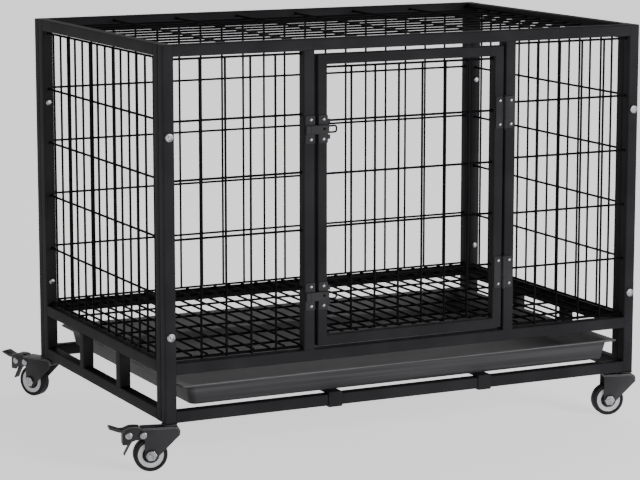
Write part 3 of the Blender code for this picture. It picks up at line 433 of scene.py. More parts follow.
# Tray bars
# Two flat steel bars, 32 mm wide and bent at both ends, hook over the front and back bottom rails.
# They are coated with the frame and carry the tray.

# Half a bar's width, its thickness, and the thickness and reach of its hooks under the rails
BAR_HALF = 16.0
BAR_THICK = 5.0
HOOK_THICK = 2.5
HOOK_REACH = 14.0
BAR_TOP = TUBE + JOINT_GAP + BAR_THICK
HOOK = JOINT_GAP + HOOK_THICK

# Edges that turn by more than this many degrees count as sharp
SHARP = 30


def eased(part, width, highlit_faces=None):
    """The part with its sharp edges rounded over this width.

    The roundings go into the list given for them, if any, so that they can wear a lighter paint that is
    a painted highlight.
    """
    work = bmesh.new()
    corners = [work.verts.new(point) for point in part[0]]
    for side in part[1]:
        work.faces.new([corners[i] for i in side])
    bmesh.ops.recalc_face_normals(work, faces=work.faces)
    sharp = [edge for edge in work.edges if edge.calc_face_angle(0) > math.radians(SHARP)]
    rounded = bmesh.ops.bevel(
        work,
        geom=sharp,
        offset=width,
        offset_type="OFFSET",
        segments=2,
        profile=0.5,
        affect="EDGES",
    )["faces"]
    apart = set() if highlit_faces is None else set(rounded)
    kept = []
    for wanted in (False, True):
        faces = [face for face in work.faces if (face in apart) is wanted]
        corners = list({vert: None for face in faces for vert in face.verts})
        place_of = {vert: i for i, vert in enumerate(corners)}
        sides = [[place_of[vert] for vert in face.verts] for face in faces]
        kept.append(([vert.co.copy() for vert in corners], sides))
    work.free()
    if highlit_faces is not None:
        highlit_faces.append(kept[1])
    return kept[0]


def prism(outline, low, high, axis):
    """A flat outline, drawn on the two axes after this one, carried from low to high along it."""
    ends = [[standing_on(axis, across, up, along) for across, up in outline] for along in (low, high)]
    return loft(ends)


bar_outline = [
    (-HOOK, -HOOK),
    (HOOK_REACH, -HOOK),
    (HOOK_REACH, -JOINT_GAP),
    (-JOINT_GAP, -JOINT_GAP),
    (-JOINT_GAP, TUBE + JOINT_GAP),
    (DEPTH + JOINT_GAP, TUBE + JOINT_GAP),
    (DEPTH + JOINT_GAP, -JOINT_GAP),
    (DEPTH - HOOK_REACH, -JOINT_GAP),
    (DEPTH - HOOK_REACH, -HOOK),
    (DEPTH + HOOK, -HOOK),
    (DEPTH + HOOK, BAR_TOP),
    (-HOOK, BAR_TOP),
]
for side, centre in (("left", 393.0), ("right", 761.0)):
    bar = eased(prism(bar_outline, centre - BAR_HALF, centre + BAR_HALF, 0), 0.9)
    piece(f"tray_bar_{side}_strip", [(TUBE_COAT, [bar])], "cage", [f"tray_bar_{side}"])

# Slide-out tray
# A shallow pan drawn from dark grey ABS sheet, with sloping walls, rounded corners and a turned-over
# rim. The sheet has a fine matt grain, and its inside is painted much lighter, as painted light that
# offsets the cage's shade.
TRAY_TOP = 75.5
TRAY_FLOOR = BAR_TOP + JOINT_GAP
# The rim's distance in from the cage's sides, front and back
TRAY_SIDE = 40.0
TRAY_FRONT = 5.0
TRAY_BACK = 32.0


def tray_sheet(name, dark, light, roughness):
    """ABS sheet: matt, finely grained, with faint lines along it where it was drawn over the mould."""
    made, tree, place, shader = finish(name, IOR=1.53, Specular_IOR_Level=0.12)
    drawn = {"Vector": (place, "Object"), "Scale": (2.5, 8.0, 150.0)}
    stretch = add_node(tree, "ShaderNodeMapping", drawn)
    streaks = {"Vector": (stretch, "Vector"), "Scale": 1.0, "Detail": 4.0}
    lines = (add_node(tree, "ShaderNodeTexNoise", streaks), "Fac")
    # Grain cells of about 0.8 mm are drawn at 2 mm so that they show
    cells = {"Vector": (place, "Object"), "Scale": 500.0}
    grain = (add_node(tree, "ShaderNodeTexVoronoi", cells), "Distance")
    tones = ((0.32, dark), (0.68, light))
    gloss = (lines, roughness, roughness + 0.1)
    dress(tree, shader, (lines, tones), gloss, (grain, 0.25, 0.00008))
    return made


TRAY_ABS = tray_sheet("grained_abs_tray", "#343335", "#464547", 0.5)
# Painted light: the inside and the top of the rim are a much lighter copy of the same sheet, which
# offsets the cage's shade
TRAY_INSIDE_LIGHTENED = tray_sheet("abs_tray_inside_painted_lighter", "#7a797b", "#8c8a8d", 0.62)

# From the underside out to the rim and in to the floor: side inset, end inset, height, corner radius
tray_profile = (
    (34.0, 24.0, TRAY_FLOOR, 9.0),
    (28.5, 18.5, TRAY_FLOOR + 0.15, 13.0),
    (26.4, 16.4, TRAY_FLOOR + 1.2, 15.5),
    (25.3, 15.3, TRAY_FLOOR + 3.2, 16.0),
    (18.6, 8.6, TRAY_TOP - 5.4, 16.0),
    (17.6, 7.6, TRAY_TOP - 3.7, 16.0),
    (16.0, 6.6, TRAY_TOP - 3.2, 15.0),
    (2.6, 2.6, TRAY_TOP - 3.2, 7.0),
    (1.8, 1.8, TRAY_TOP - 3.5, 6.6),
    (0.5, 0.5, TRAY_TOP - 3.5, 6.0),
    (0.0, 0.0, TRAY_TOP - 2.9, 6.0),
    (0.0, 0.0, TRAY_TOP - 0.9, 6.0),
    (0.8, 0.8, TRAY_TOP - 0.1, 5.6),
    (1.8, 1.8, TRAY_TOP, 5.0),
    (18.2, 8.2, TRAY_TOP, 15.0),
    (19.8, 9.8, TRAY_TOP - 0.4, 14.6),
    (20.9, 10.9, TRAY_TOP - 1.8, 13.8),
    (27.4, 17.4, TRAY_FLOOR + 6.4, 13.5),
    (28.4, 18.4, TRAY_FLOOR + 3.6, 13.0),
    (30.6, 20.6, TRAY_FLOOR + 2.6, 11.0),
    (36.0, 26.0, TRAY_FLOOR + 2.5, 8.0),
)
# The inside painted lighter begins at this step of the profile, on the rim's outer edge
INNER_EDGE = 11
rings = []
for side_inset, end_inset, height, corner in tray_profile:
    x = (TRAY_SIDE + side_inset, LENGTH - TRAY_SIDE - side_inset)
    y = (TRAY_FRONT + end_inset, DEPTH - TRAY_BACK - end_inset)
    outline = rounded_ring((x[1] - x[0]) / 2, (y[1] - y[0]) / 2, corner, 8)
    rings.append([((x[0] + x[1]) / 2 + u, (y[0] + y[1]) / 2 + v, height) for u, v in outline])
points, faces = loft(rings)
lightened_from = INNER_EDGE * len(rings[0])
outer = [side for side in faces if max(side) < lightened_from + len(rings[0]) and len(side) == 4]
inner = [side for side in faces if min(side) >= lightened_from]
coats = [(TRAY_ABS, [(points, [faces[0], *outer])]), (TRAY_INSIDE_LIGHTENED, [(points, inner)])]
piece("tray_pan", coats, "tray", ["tray"])

# Corner bolts
# Zinc-plated round-head bolts join the frames at the corners, two to each corner.
# Each passes through both posts into a cap nut. Its head is cold formed with a ring pressed into it.
BOLT = 4.0

# Zinc plate: silver grey and shiny, clouded in patches of about 4 mm
ZINC, tree, place, shader = finish("bright_zinc_plate", Metallic=1.0)
patches = {"Vector": (place, "Object"), "Scale": 260.0, "Detail": 3.0}
shade = (add_node(tree, "ShaderNodeTexNoise", patches), "Fac")
tones = ((0.3, "#6d6e71"), (0.7, "#a9aaad"))
dress(tree, shader, (shade, tones), (shade, 0.24, 0.42), (shade, 0.2, 0.00005))


def turned(profile, heart, way, sides=32):
    """A solid turned about a line through heart, from (radius, distance along way) pairs."""
    way = Vector(way).normalized()
    aside = Vector((way.y, way.z, way.x))
    over = way.cross(aside)
    turns = [2 * math.pi * side / sides for side in range(sides)]
    spokes = [aside * math.cos(turn) + over * math.sin(turn) for turn in turns]
    base = Vector(heart)
    rings = [[base + way * along + spoke * radius for spoke in spokes] for radius, along in profile]
    return loft(rings)


button_head = (
    (BOLT, 0.0),
    (8.4, 0.0),
    (9.0, 0.5),
    (9.0, 2.5),
    (8.6, 3.1),
    (7.7, 3.4),
    (6.7, 3.5),
    (5.7, 2.5),
    (4.7, 2.3),
    (3.5, 2.6),
    (2.6, 3.3),
    (1.2, 3.5),
)
cap_nut = ((BOLT, 0.0), (6.6, 0.0), (7.4, 0.5), (7.4, 2.0), (5.6, 2.9), (3.0, 3.3))
# How far in the second post's far face lies, where the cap nut sits
inner_face = TUBE + JOINT_GAP + TUBE + JOINT_GAP
for end in ("front", "back"):
    out = -1 if end == "front" else 1
    face = 0 if end == "front" else DEPTH
    for side, x in (("left", middle), ("right", LENGTH - middle)):
        for level, z in (("lower", 183.0), ("upper", 600.0)):
            head = turned(button_head, (x, face + out * JOINT_GAP, z), (0, out, 0))
            shank = turned(((BOLT, 0), (BOLT, inner_face)), (x, face, z), (0, -out, 0), 16)
            nut = turned(cap_nut, (x, face - out * inner_face, z), (0, -out, 0), 6)
            name = f"bolt_{end}_{side}_{level}"
            parts = [head, shank, eased(nut, 0.4)]
            piece(f"{name}_steel", [(ZINC, parts)], "cage", [name])

# Door
# A lighter frame of 22 mm tube, mitred at its corners and welded, with its own panel of welded wire.
# It is coated black with the cage.
DOOR = (352.0, 802.0)
DOOR_Z = (133.5, 756.0)
DOOR_TUBE = 22.0
DOOR_CORNER = 2.3
DOOR_END_ROW = 6.5
DOOR_UPRIGHTS = 6


def mitred(x, z, y, thick, flat):
    """Four tubes mitred round a rectangle, drawn as one loop with a crease at each corner."""
    rings = []
    for side, level in ((0, 0), (1, 0), (1, 1), (0, 1)):
        cx, cz, out_x, out_z = x[side], z[level], 2 * side - 1, 2 * level - 1
        ring = []
        for across, deep in rounded_ring(thick / 2, flat / 2, DOOR_CORNER):
            inset = thick / 2 - across
            ring.append((cx - out_x * inset, y + flat / 2 + deep, cz - out_z * inset))
        rings.append(ring)
    count = len(rings[0])
    points = [Vector(point) for ring in rings for point in ring]
    faces = []
    for i in range(4):
        here, there = i * count, (i + 1) % 4 * count
        for step in range(count):
            after = (step + 1) % count
            faces.append([here + step, here + after, there + after, there + step])
    return points, faces


parts = [mitred(DOOR, DOOR_Z, 0.0, DOOR_TUBE, DOOR_TUBE)]
piece("door_frame_tubes", [(TUBE_COAT, parts)], "door", ["door_frame"])
inner = (DOOR[0] + DOOR_TUBE, DOOR[1] - DOOR_TUBE)
lowest = DOOR_Z[0] + DOOR_TUBE + DOOR_END_ROW
highest = DOOR_Z[1] - DOOR_TUBE - DOOR_END_ROW
door_rows = [lowest + (highest - lowest) * i / (ROWS - 1) for i in range(ROWS)]
uprights = spread(DOOR_UPRIGHTS, *inner, FRONT_GAP, FRONT_GAP)
parts = wall_panel(uprights, door_rows, inner, DOOR_TUBE / 2, -1, 0)
piece("door_wires", [(WIRE_COAT, parts)], "door", ["door_mesh"])

# Hinges
# Pressed steel butt hinges with rolled knuckles, painted dark grey and riveted to post and stile.
# The pin's ends are spread over the outer knuckles, and the rivets are left bright.
HINGE_X = (DOORWAY[1] + DOOR[1]) / 2
HINGE_Y = -4.1
HINGE_HALF = 35
# The knuckle's radius, how far its ends are eased, and the leaf's sheet and reach
KNUCKLE = 3.8
KNUCKLE_EASE = 0.5
LEAF = 2.0
LEAF_REACH = 22.5
# The leaves stand back this far from the pin's line, where the other leaf's knuckle turns
NOTCH = 4.1
# How far the rivets stand to the right and left of the pin's line, and above and below the middle
POST_RIVET = 15.5
STILE_RIVET = 12.0
RIVET_RISE = 26

# Stoved paint on pressings: smoother than powder, with a soft sheen and faint rub marks
PLATE_PAINT = powder_coat("dark_grey_stoved_paint", "#282729", "#313032", 0.55, 2.2, 0.015, 0.08)
rivet_dome = ((3.4, 0.0), (3.6, 0.3), (3.4, 0.8), (2.7, 1.3), (1.7, 1.65), (0.6, 1.75))


def rivets(x, centre, rise, face_y):
    """Two domed rivets in the front face, this far below and above a hinge's or a latch's middle."""
    heights = (centre - rise, centre + rise)
    return [turned(rivet_dome, (x, face_y, z), (0, -1, 0), 24) for z in heights]


def plate(outline, y_back, thick, round_off=0.5):
    """A flat plate on the front face, from its outline of (x, z)."""
    turned_round = [(z, x) for x, z in outline]
    return eased(prism(turned_round, y_back - thick, y_back, 1), round_off)


def rounded_box(x, z, corner):
    """The outline of a plate with rounded corners between two places each way."""
    outline = rounded_ring((x[1] - x[0]) / 2, (z[1] - z[0]) / 2, corner)
    return [((x[0] + x[1]) / 2 + u, (z[0] + z[1]) / 2 + v) for u, v in outline]


def knuckle(low, high):
    """The part of a leaf that is rolled round the pin between two heights."""
    slim = KNUCKLE - KNUCKLE_EASE
    rolled = [(slim, low), (KNUCKLE, low + KNUCKLE_EASE), (KNUCKLE, high - KNUCKLE_EASE), (slim, high)]
    return turned(rolled, (HINGE_X, HINGE_Y, 0), (0, 0, 1), 24)


for level, centre in (("lower", 258.0), ("upper", 611.0)):
    low, high = centre - HINGE_HALF, centre + HINGE_HALF
    third = 2 * HINGE_HALF / 3
    post_side = [
        (HINGE_X, low),
        (HINGE_X + LEAF_REACH, low),
        (HINGE_X + LEAF_REACH, high),
        (HINGE_X, high),
        (HINGE_X, high - third + JOINT_GAP),
        (HINGE_X + NOTCH, high - third + JOINT_GAP),
        (HINGE_X + NOTCH, low + third - JOINT_GAP),
        (HINGE_X, low + third - JOINT_GAP),
    ]
    door_side = [
        (HINGE_X - LEAF_REACH, low),
        (HINGE_X - NOTCH, low),
        (HINGE_X - NOTCH, low + third),
        (HINGE_X, low + third),
        (HINGE_X, high - third),
        (HINGE_X - NOTCH, high - third),
        (HINGE_X - NOTCH, high),
        (HINGE_X - LEAF_REACH, high),
    ]
    post_parts = [plate(post_side, -JOINT_GAP, LEAF), knuckle(low, low + third - JOINT_GAP)]
    post_parts.append(knuckle(high - third + JOINT_GAP, high))
    screws = rivets(HINGE_X + POST_RIVET, centre, RIVET_RISE, -JOINT_GAP - LEAF)
    name = f"hinge_post_leaf_{level}"
    piece(f"{name}_plate", [(PLATE_PAINT, post_parts), (ZINC, screws)], "cage", [name])
    screws = rivets(HINGE_X - STILE_RIVET, centre, RIVET_RISE, -JOINT_GAP - LEAF)
    door_parts = [plate(door_side, -JOINT_GAP, LEAF), knuckle(low + third, high - third)]
    name = f"hinge_door_leaf_{level}"
    piece(f"{name}_plate", [(PLATE_PAINT, door_parts), (ZINC, screws)], "door", [name])
    # The pin's spread end, as its radius at each distance in from the tip
    spread_end = ((1.6, 0.0), (2.8, 0.5), (3.04, 1.2), (2.9, 2.0), (1.8, 2.0))
    tips = (low - 2.3, high + 2.3)
    pin_profile = [(radius, tips[0] + inward) for radius, inward in spread_end]
    pin_profile += [(radius, tips[1] - inward) for radius, inward in reversed(spread_end)]
    pin = turned(pin_profile, (HINGE_X, HINGE_Y, 0), (0, 0, 1), 20)
    name = f"hinge_pin_{level}"
    piece(f"{name}_steel", [(PLATE_PAINT, [pin])], "cage", [name])

# Slide latches
# A pressed keeper is riveted to the post and a housing to the stile, both painted dark grey.
# A bent steel rod slides in the housing, and its open end locks the door once it is in the keeper.
PLATE_LEFT = DOORWAY[0] - 23.0
HOUSING_LEFT = DOORWAY[0] - 11.5
HOUSING_RIGHT = DOOR[0] + DOOR_TUBE + 0.5
LATCH_HALF = 29.5
# The folded cover's half height, how far it stands off its plate, its sheet, and its folds' two radii
COVER_HALF = 9.5
COVER = 5.8
COVER_SHEET = 0.75
FOLD_OUTER = 1.5
FOLD_INNER = 0.6
LATCH_RIVET_RISE = 21
# The rod's radius, its legs' distance from the middle, the radius of its bends, and its loop's reach
ROD = 2.0
ROD_SIDES = 14
ROD_SPREAD = 6.7
ROD_BEND = 4.6
ROD_REACH = 20.0
plate_face = -JOINT_GAP - LEAF
cover_face = plate_face - JOINT_GAP - COVER
rod_y = plate_face - JOINT_GAP - COVER / 2

# Bare drawn rod with a dark oiled skin, nearly as black as the coat
ROD_STEEL = powder_coat("oil_blackened_rod", "#0c0b0d", "#151416", 0.55, 1.5, 0.01, 0.03)


def arc(u, z, radius, start, stop, steps):
    """Points round (u, z) from one angle to another, in degrees."""
    turns = [math.radians(start + (stop - start) * step / steps) for step in range(steps + 1)]
    return [(u + radius * math.cos(turn), z + radius * math.sin(turn)) for turn in turns]


def channel(x, z, y_back, high):
    """A cover folded from sheet, open at its back and both ends, so that a rod can run through it."""
    y_face = y_back - high
    turn_in = COVER_SHEET + FOLD_INNER
    profile = [(y_back, z[0])]
    profile += arc(y_face + FOLD_OUTER, z[0] + FOLD_OUTER, FOLD_OUTER, 270, 180, 5)
    profile += arc(y_face + FOLD_OUTER, z[1] - FOLD_OUTER, FOLD_OUTER, 180, 90, 5)
    profile += [(y_back, z[1]), (y_back, z[1] - COVER_SHEET)]
    profile += arc(y_face + turn_in, z[1] - turn_in, FOLD_INNER, 90, 180, 3)
    profile += arc(y_face + turn_in, z[0] + turn_in, FOLD_INNER, 180, 270, 3)
    profile.append((y_back, z[0] + COVER_SHEET))
    return prism(profile, *x, 0)


def bend(points, radius):
    """A round rod along a path in the front plane, with its two ends chamfered."""
    deep = Vector((0, 1, 0))
    turns = [2 * math.pi * side / ROD_SIDES for side in range(ROD_SIDES)]
    rings = []
    for i, (x, z) in enumerate(points):
        before, after = points[max(i - 1, 0)], points[min(i + 1, len(points) - 1)]
        way = Vector((after[0] - before[0], 0, after[1] - before[1])).normalized()
        across = way.cross(deep)
        size = radius * (0.7 if i in (0, len(points) - 1) else 1.0)
        spokes = [deep * math.cos(turn) + across * math.sin(turn) for turn in turns]
        rings.append([Vector((x, rod_y, z)) + spoke * size for spoke in spokes])
    return loft(rings)


for level, centre in (("lower", 242.3), ("upper", 598.3)):
    low, high = centre - LATCH_HALF, centre + LATCH_HALF
    covered = (centre - COVER_HALF, centre + COVER_HALF)
    outline = rounded_box((PLATE_LEFT, DOORWAY[0] - 0.5), (low, high), 2.0)
    keeper = plate(outline, -JOINT_GAP, LEAF)
    across = (PLATE_LEFT, HOUSING_LEFT - 0.5)
    raised = channel(across, covered, plate_face + 0.5, JOINT_GAP + COVER + 0.5)
    screws = rivets(DOORWAY[0] - 9.3, centre, LATCH_RIVET_RISE, plate_face)
    coats = [(PLATE_PAINT, [keeper, raised]), (ZINC, screws)]
    name = f"latch_keeper_{level}"
    piece(f"{name}_plate", coats, "cage", [name])
    outline = rounded_box((DOOR[0] + 0.5, HOUSING_RIGHT), (low, high), 2.0)
    housing = plate(outline, -JOINT_GAP, LEAF)
    cover = channel((HOUSING_LEFT, HOUSING_RIGHT), covered, plate_face - JOINT_GAP, COVER)
    outline = rounded_box((DOOR[0] + 1.0, HOUSING_RIGHT - 0.5), covered, 1.0)
    foot = plate(outline, plate_face + 1, 2.0, 0.2)
    # Two ears stand out of the right edge, above and below the rod's loop
    ears = []
    for ear_z in ((centre + 11.5, centre + 21.5), (centre - 21.5, centre - 11.5)):
        outline = rounded_box((HOUSING_RIGHT - 1.5, HOUSING_RIGHT + 5.5), ear_z, 1.2)
        ears.append(plate(outline, -JOINT_GAP, LEAF))
    screws = rivets(DOOR[0] + 12.5, centre, LATCH_RIVET_RISE, plate_face)
    # A thin near-black disc on the cover stands for a hole: painted shade, as no hole is cut
    hole_at = (DOOR[0] + 11.0, cover_face + 0.05, centre + 1)
    painted_hole_disc = turned(((3.1, 0), (3.1, 0.15)), hole_at, (0, -1, 0), 20)
    coats = [(PLATE_PAINT, [housing, cover, foot, *ears]), (ZINC, screws), (WIRE_COAT, [painted_hole_disc])]
    name = f"latch_housing_{level}"
    piece(f"{name}_plate", coats, "door", [name])
    tip = HOUSING_LEFT + 2.0
    turn_x = HOUSING_RIGHT + ROD_REACH - ROD - ROD_BEND
    drop = ROD_SPREAD - ROD_BEND
    path = [(tip, centre + ROD_SPREAD), (tip + 0.6, centre + ROD_SPREAD)]
    path += arc(turn_x, centre + drop, ROD_BEND, 90, 15, 5)
    path.append((turn_x + ROD_BEND, centre))
    path += arc(turn_x, centre - drop, ROD_BEND, -15, -90, 5)
    path += [(tip + 0.6, centre - ROD_SPREAD), (tip, centre - ROD_SPREAD)]
    name = f"latch_rod_{level}"
    rod = bend(path, ROD)
    piece(f"{name}_bend", [(ROD_STEEL, [rod])], f"latch_{level}", [name])

# Casters
# Pressed steel swivel casters, painted dark grey, with a flanged stem that goes up into each post.
# A rubber tyre is moulded on a pale nylon rim with dark bearing covers. A bright hexagon bolt is its
# axle, and the two on the left have a brake pedal that is pressed from the same sheet.

# Lengths run back from the stem's line, and heights up from the frame's foot.
# First come the wheel's radius, the axle's height and trail, and the flange under the foot
WHEEL = 36.0
AXLE_Z = WHEEL - 1000 * FOOT.z
TRAIL = 41.0
FLANGE = 5.0
# The fork: its top, its crown's sheet, the inside and outside of its cheeks, its nose and its end
FORK_TOP = -FLANGE - 2 * JOINT_GAP
FORK_SHEET = 4.0
FORK_IN = 14.0
FORK_OUT = FORK_IN + 2.5
FORK_NOSE = -21.0
FORK_END = TRAIL + 13.0
SHOULDER = 10.0
# The cheeks stop this far below the crown's top and inside its ends, and a flange stands this proud
TUCK = 1.5
END_TUCK = 0.6
PROUD = 0.2
# A braked fork has ears that reach this far back and carry the pedal's pivot
EAR_END = 60.6
PIVOT = (57.0, -20.5)
PIN = 4.0
# The pedal: a rivet in its cheeks, half its width, the sheet of its cheeks and top, its tread's
# flanges, and its leaf spring's sheet and half width
LEVER_RIVET = (87.0, -20.5)
LEVER_HALF = 13.6
LEVER_SHEET = 1.7
LEVER_TOP_SHEET = 2.6
TREAD_FLANGE = 5.0
SPRING_SHEET = 1.8
SPRING_HALF = 8.5
# How far each caster is turned from straight back, in degrees
yaws = {"front_left": -14.0, "front_right": -14.0, "back_left": -60.0, "back_right": -14.0}

# The same stoved paint as the plates but a shade greyer, and a lighter, glossier copy of it along the
# sheet's folds as a painted highlight
CASTER_PAINT = powder_coat(
    "dark_grey_stoved_paint_on_caster", "#2d2c2e", "#383739", 0.5, 2.2, 0.015, 0.12
)
FOLD_HIGHLIGHT_PAINT = powder_coat("stoved_paint_lightened_on_folds_as_highlight", "#6a696b", "#7b7a7d", 0.38, 1.4, 0.01, 0.4)

# Moulded rubber is matt and a little dusty, with a grain of about half a millimetre, drawn at 1.2 mm
TYRE_RUBBER, tree, place, shader = finish(
    "thermoplastic_rubber_tyre", IOR=1.52, Specular_IOR_Level=0.12
)
clouds = {"Vector": (place, "Object"), "Scale": 60.0, "Detail": 4.0}
dust = (add_node(tree, "ShaderNodeTexNoise", clouds), "Fac")
pores = {"Vector": (place, "Object"), "Scale": 830.0, "Detail": 2.0}
grain = (add_node(tree, "ShaderNodeTexNoise", pores), "Fac")
tones = ((0.4, "#1c1b1d"), (0.75, "#262527"))
dress(tree, shader, (dust, tones), (dust, 0.55, 0.72), (grain, 0.4, 0.0001))

# Moulded nylon is pale and smooth with a soft shine, faintly mottled about every 11 mm by its flow
RIM_NYLON, tree, place, shader = finish("moulded_nylon_rim", IOR=1.53, Specular_IOR_Level=0.5)
mottle = {"Vector": (place, "Object"), "Scale": 90.0, "Detail": 2.0}
flow = (add_node(tree, "ShaderNodeTexNoise", mottle), "Fac")
tones = ((0.3, "#b0afb3"), (0.75, "#bfbec2"))
dress(tree, shader, (flow, tones), (flow, 0.3, 0.42), (flow, 0.15, 0.0002))


def ring(profile, heart, way, sides=72):
    """A ring turned about a line through heart, from a closed (radius, distance along way) outline."""
    way = Vector(way)
    aside = Vector((way.y, way.z, way.x))
    over = way.cross(aside)
    count = len(profile)
    points = []
    faces = []
    for side in range(sides):
        turn = 2 * math.pi * side / sides
        spoke = aside * math.cos(turn) + over * math.sin(turn)
        points += [Vector(heart) + way * along + spoke * radius for radius, along in profile]
        here, there = side * count, (side + 1) % sides * count
        for i in range(count):
            after = (i + 1) % count
            faces.append([here + i, here + after, there + after, there + i])
    return points, faces


def both_ways(profile):
    """A profile mirrored across the wheel's middle."""
    return [*profile, *[(radius, -along) for radius, along in reversed(profile)]]


def cheek(outline, v_low, v_high, ease=0.7, highlit_faces=None):
    """A plate of the fork or the pedal, from its outline of (distance behind the stem, height)."""
    return eased(prism([(z, u) for u, z in outline], v_low, v_high, 1), ease, highlit_faces)


def strip(path, thick, v_low, v_high, ease=0.7, highlit_faces=None):
    """A bent strip along a path of (distance behind the stem, height), with its thickness below."""
    under = []
    for i, (u, z) in enumerate(path):
        before, after = path[max(i - 1, 0)], path[min(i + 1, len(path) - 1)]
        run, rise = after[0] - before[0], after[1] - before[1]
        reach = math.hypot(run, rise)
        under.append((u + thick * rise / reach, z - thick * run / reach))
    return cheek([*path, *reversed(under)], v_low, v_high, ease, highlit_faces)


def cross_pin(u, z, levels, sides=24):
    """A pin across the fork, from (distance from the middle, radius) pairs."""
    return turned([(radius, along) for along, radius in levels], (u, 0, z), (0, 1, 0), sides)


# Outlines in (distance behind the stem, height): the fork's cheeks, plain or with an ear, and its crown
shoulder = arc(FORK_NOSE + SHOULDER, FORK_TOP - SHOULDER, SHOULDER, 180, 90, 8)
foot_arc = arc(TRAIL, AXLE_Z, FORK_END - TRAIL, 0, -135, 9)
under_top = [(FORK_NOSE + END_TUCK, -23.0)]
under_top += [(u + TUCK * 0.6, z - TUCK) for u, z in shoulder]
plain_end = [(FORK_END - END_TUCK, FORK_TOP - TUCK)]
ear = [(EAR_END - END_TUCK, FORK_TOP - TUCK), (EAR_END, -14.0)]
ear += [*arc(*PIVOT, 8.4, 20, -62, 6), (FORK_END, -31.5)]
sheet_path = [(FORK_NOSE, -20.0), *shoulder]
# The stem with its flange and its nut under the fork's crown, in (radius, height)
stem_profile = (
    (3.6, 22.0),
    (4.0, 21.6),
    (4.0, -JOINT_GAP),
    (16.2, -JOINT_GAP),
    (17.0, -1.0),
    (17.0, -2.7),
    (16.3, -3.4),
    (14.2, -3.6),
    (14.2, -FLANGE - JOINT_GAP),
    (5.0, -FLANGE - JOINT_GAP),
    (5.0, -8.9),
    (9.0, -8.9),
    (9.0, -10.6),
    (8.2, -11.4),
)
# One side of the tyre, the rim and the bearing cover, in (radius, distance from the wheel's middle)
tyre_side = (
    (27.7, 0.0),
    (27.7, 11.0),
    (28.4, 11.4),
    (33.2, 11.5),
    (34.9, 10.9),
    (35.7, 9.2),
    (35.85, 5.0),
    (35.8, 0.4),
    (WHEEL, 0.0),
)
rim_side = (
    (17.5, 0.0),
    (17.5, 9.6),
    (18.2, 10.6),
    (20.0, 11.0),
    (22.4, 10.5),
    (24.8, 10.6),
    (26.2, 11.2),
    (27.1, 11.1),
    (27.3, 10.6),
    (27.3, 0.0),
)
cover_side = (
    (4.8, 0.0),
    (4.8, 12.6),
    (9.5, 12.7),
    (10.4, 12.1),
    (15.6, 9.4),
    (16.8, 9.1),
    (17.3, 8.5),
    (17.3, 0.0),
)
# The pedal's top, cheek, end and leaf spring, in (distance behind the stem, height)
lever_top = [
    (61.4, -13.0),
    (61.6, -8.0),
    (62.4, -5.2),
    (64.4, -3.6),
    (68.0, -2.9),
    (76.0, -2.4),
    (85.0, -2.8),
    (91.0, -5.2),
    (96.5, -7.6),
    (101.0, -8.4),
    (106.0, -7.8),
    (113.0, -5.4),
    (120.0, -2.6),
    (124.6, -1.1),
    (127.4, -1.3),
    (128.8, -2.8),
    (129.0, -4.6),
]
# Behind its cheeks the pedal has a tread, with a flange down each side of it
tread = lever_top[8:-2]
lever_side = [
    (50.3, -24.5),
    (51.8, -15.8),
    (57.0, -12.0),
    (62.0, -9.6),
    (63.2, -6.0),
    (67.0, -3.9),
    (85.0, -3.6),
    (98.6, -9.0),
    (99.4, -14.0),
    (99.9, -39.2),
    (98.9, -40.2),
    (84.7, -40.2),
    (80.4, -34.0),
    (74.0, -31.6),
    (55.3, -29.2),
]
lever_end = [(98.2, -10.0), (99.9, -10.0), (99.9, -40.2), (98.2, -40.2)]
spring_leaf = [
    (95.6, -63.8),
    (91.4, -55.5),
    (87.4, -48.0),
    (83.6, -40.5),
    (81.2, -33.0),
    (80.2, -26.0),
]
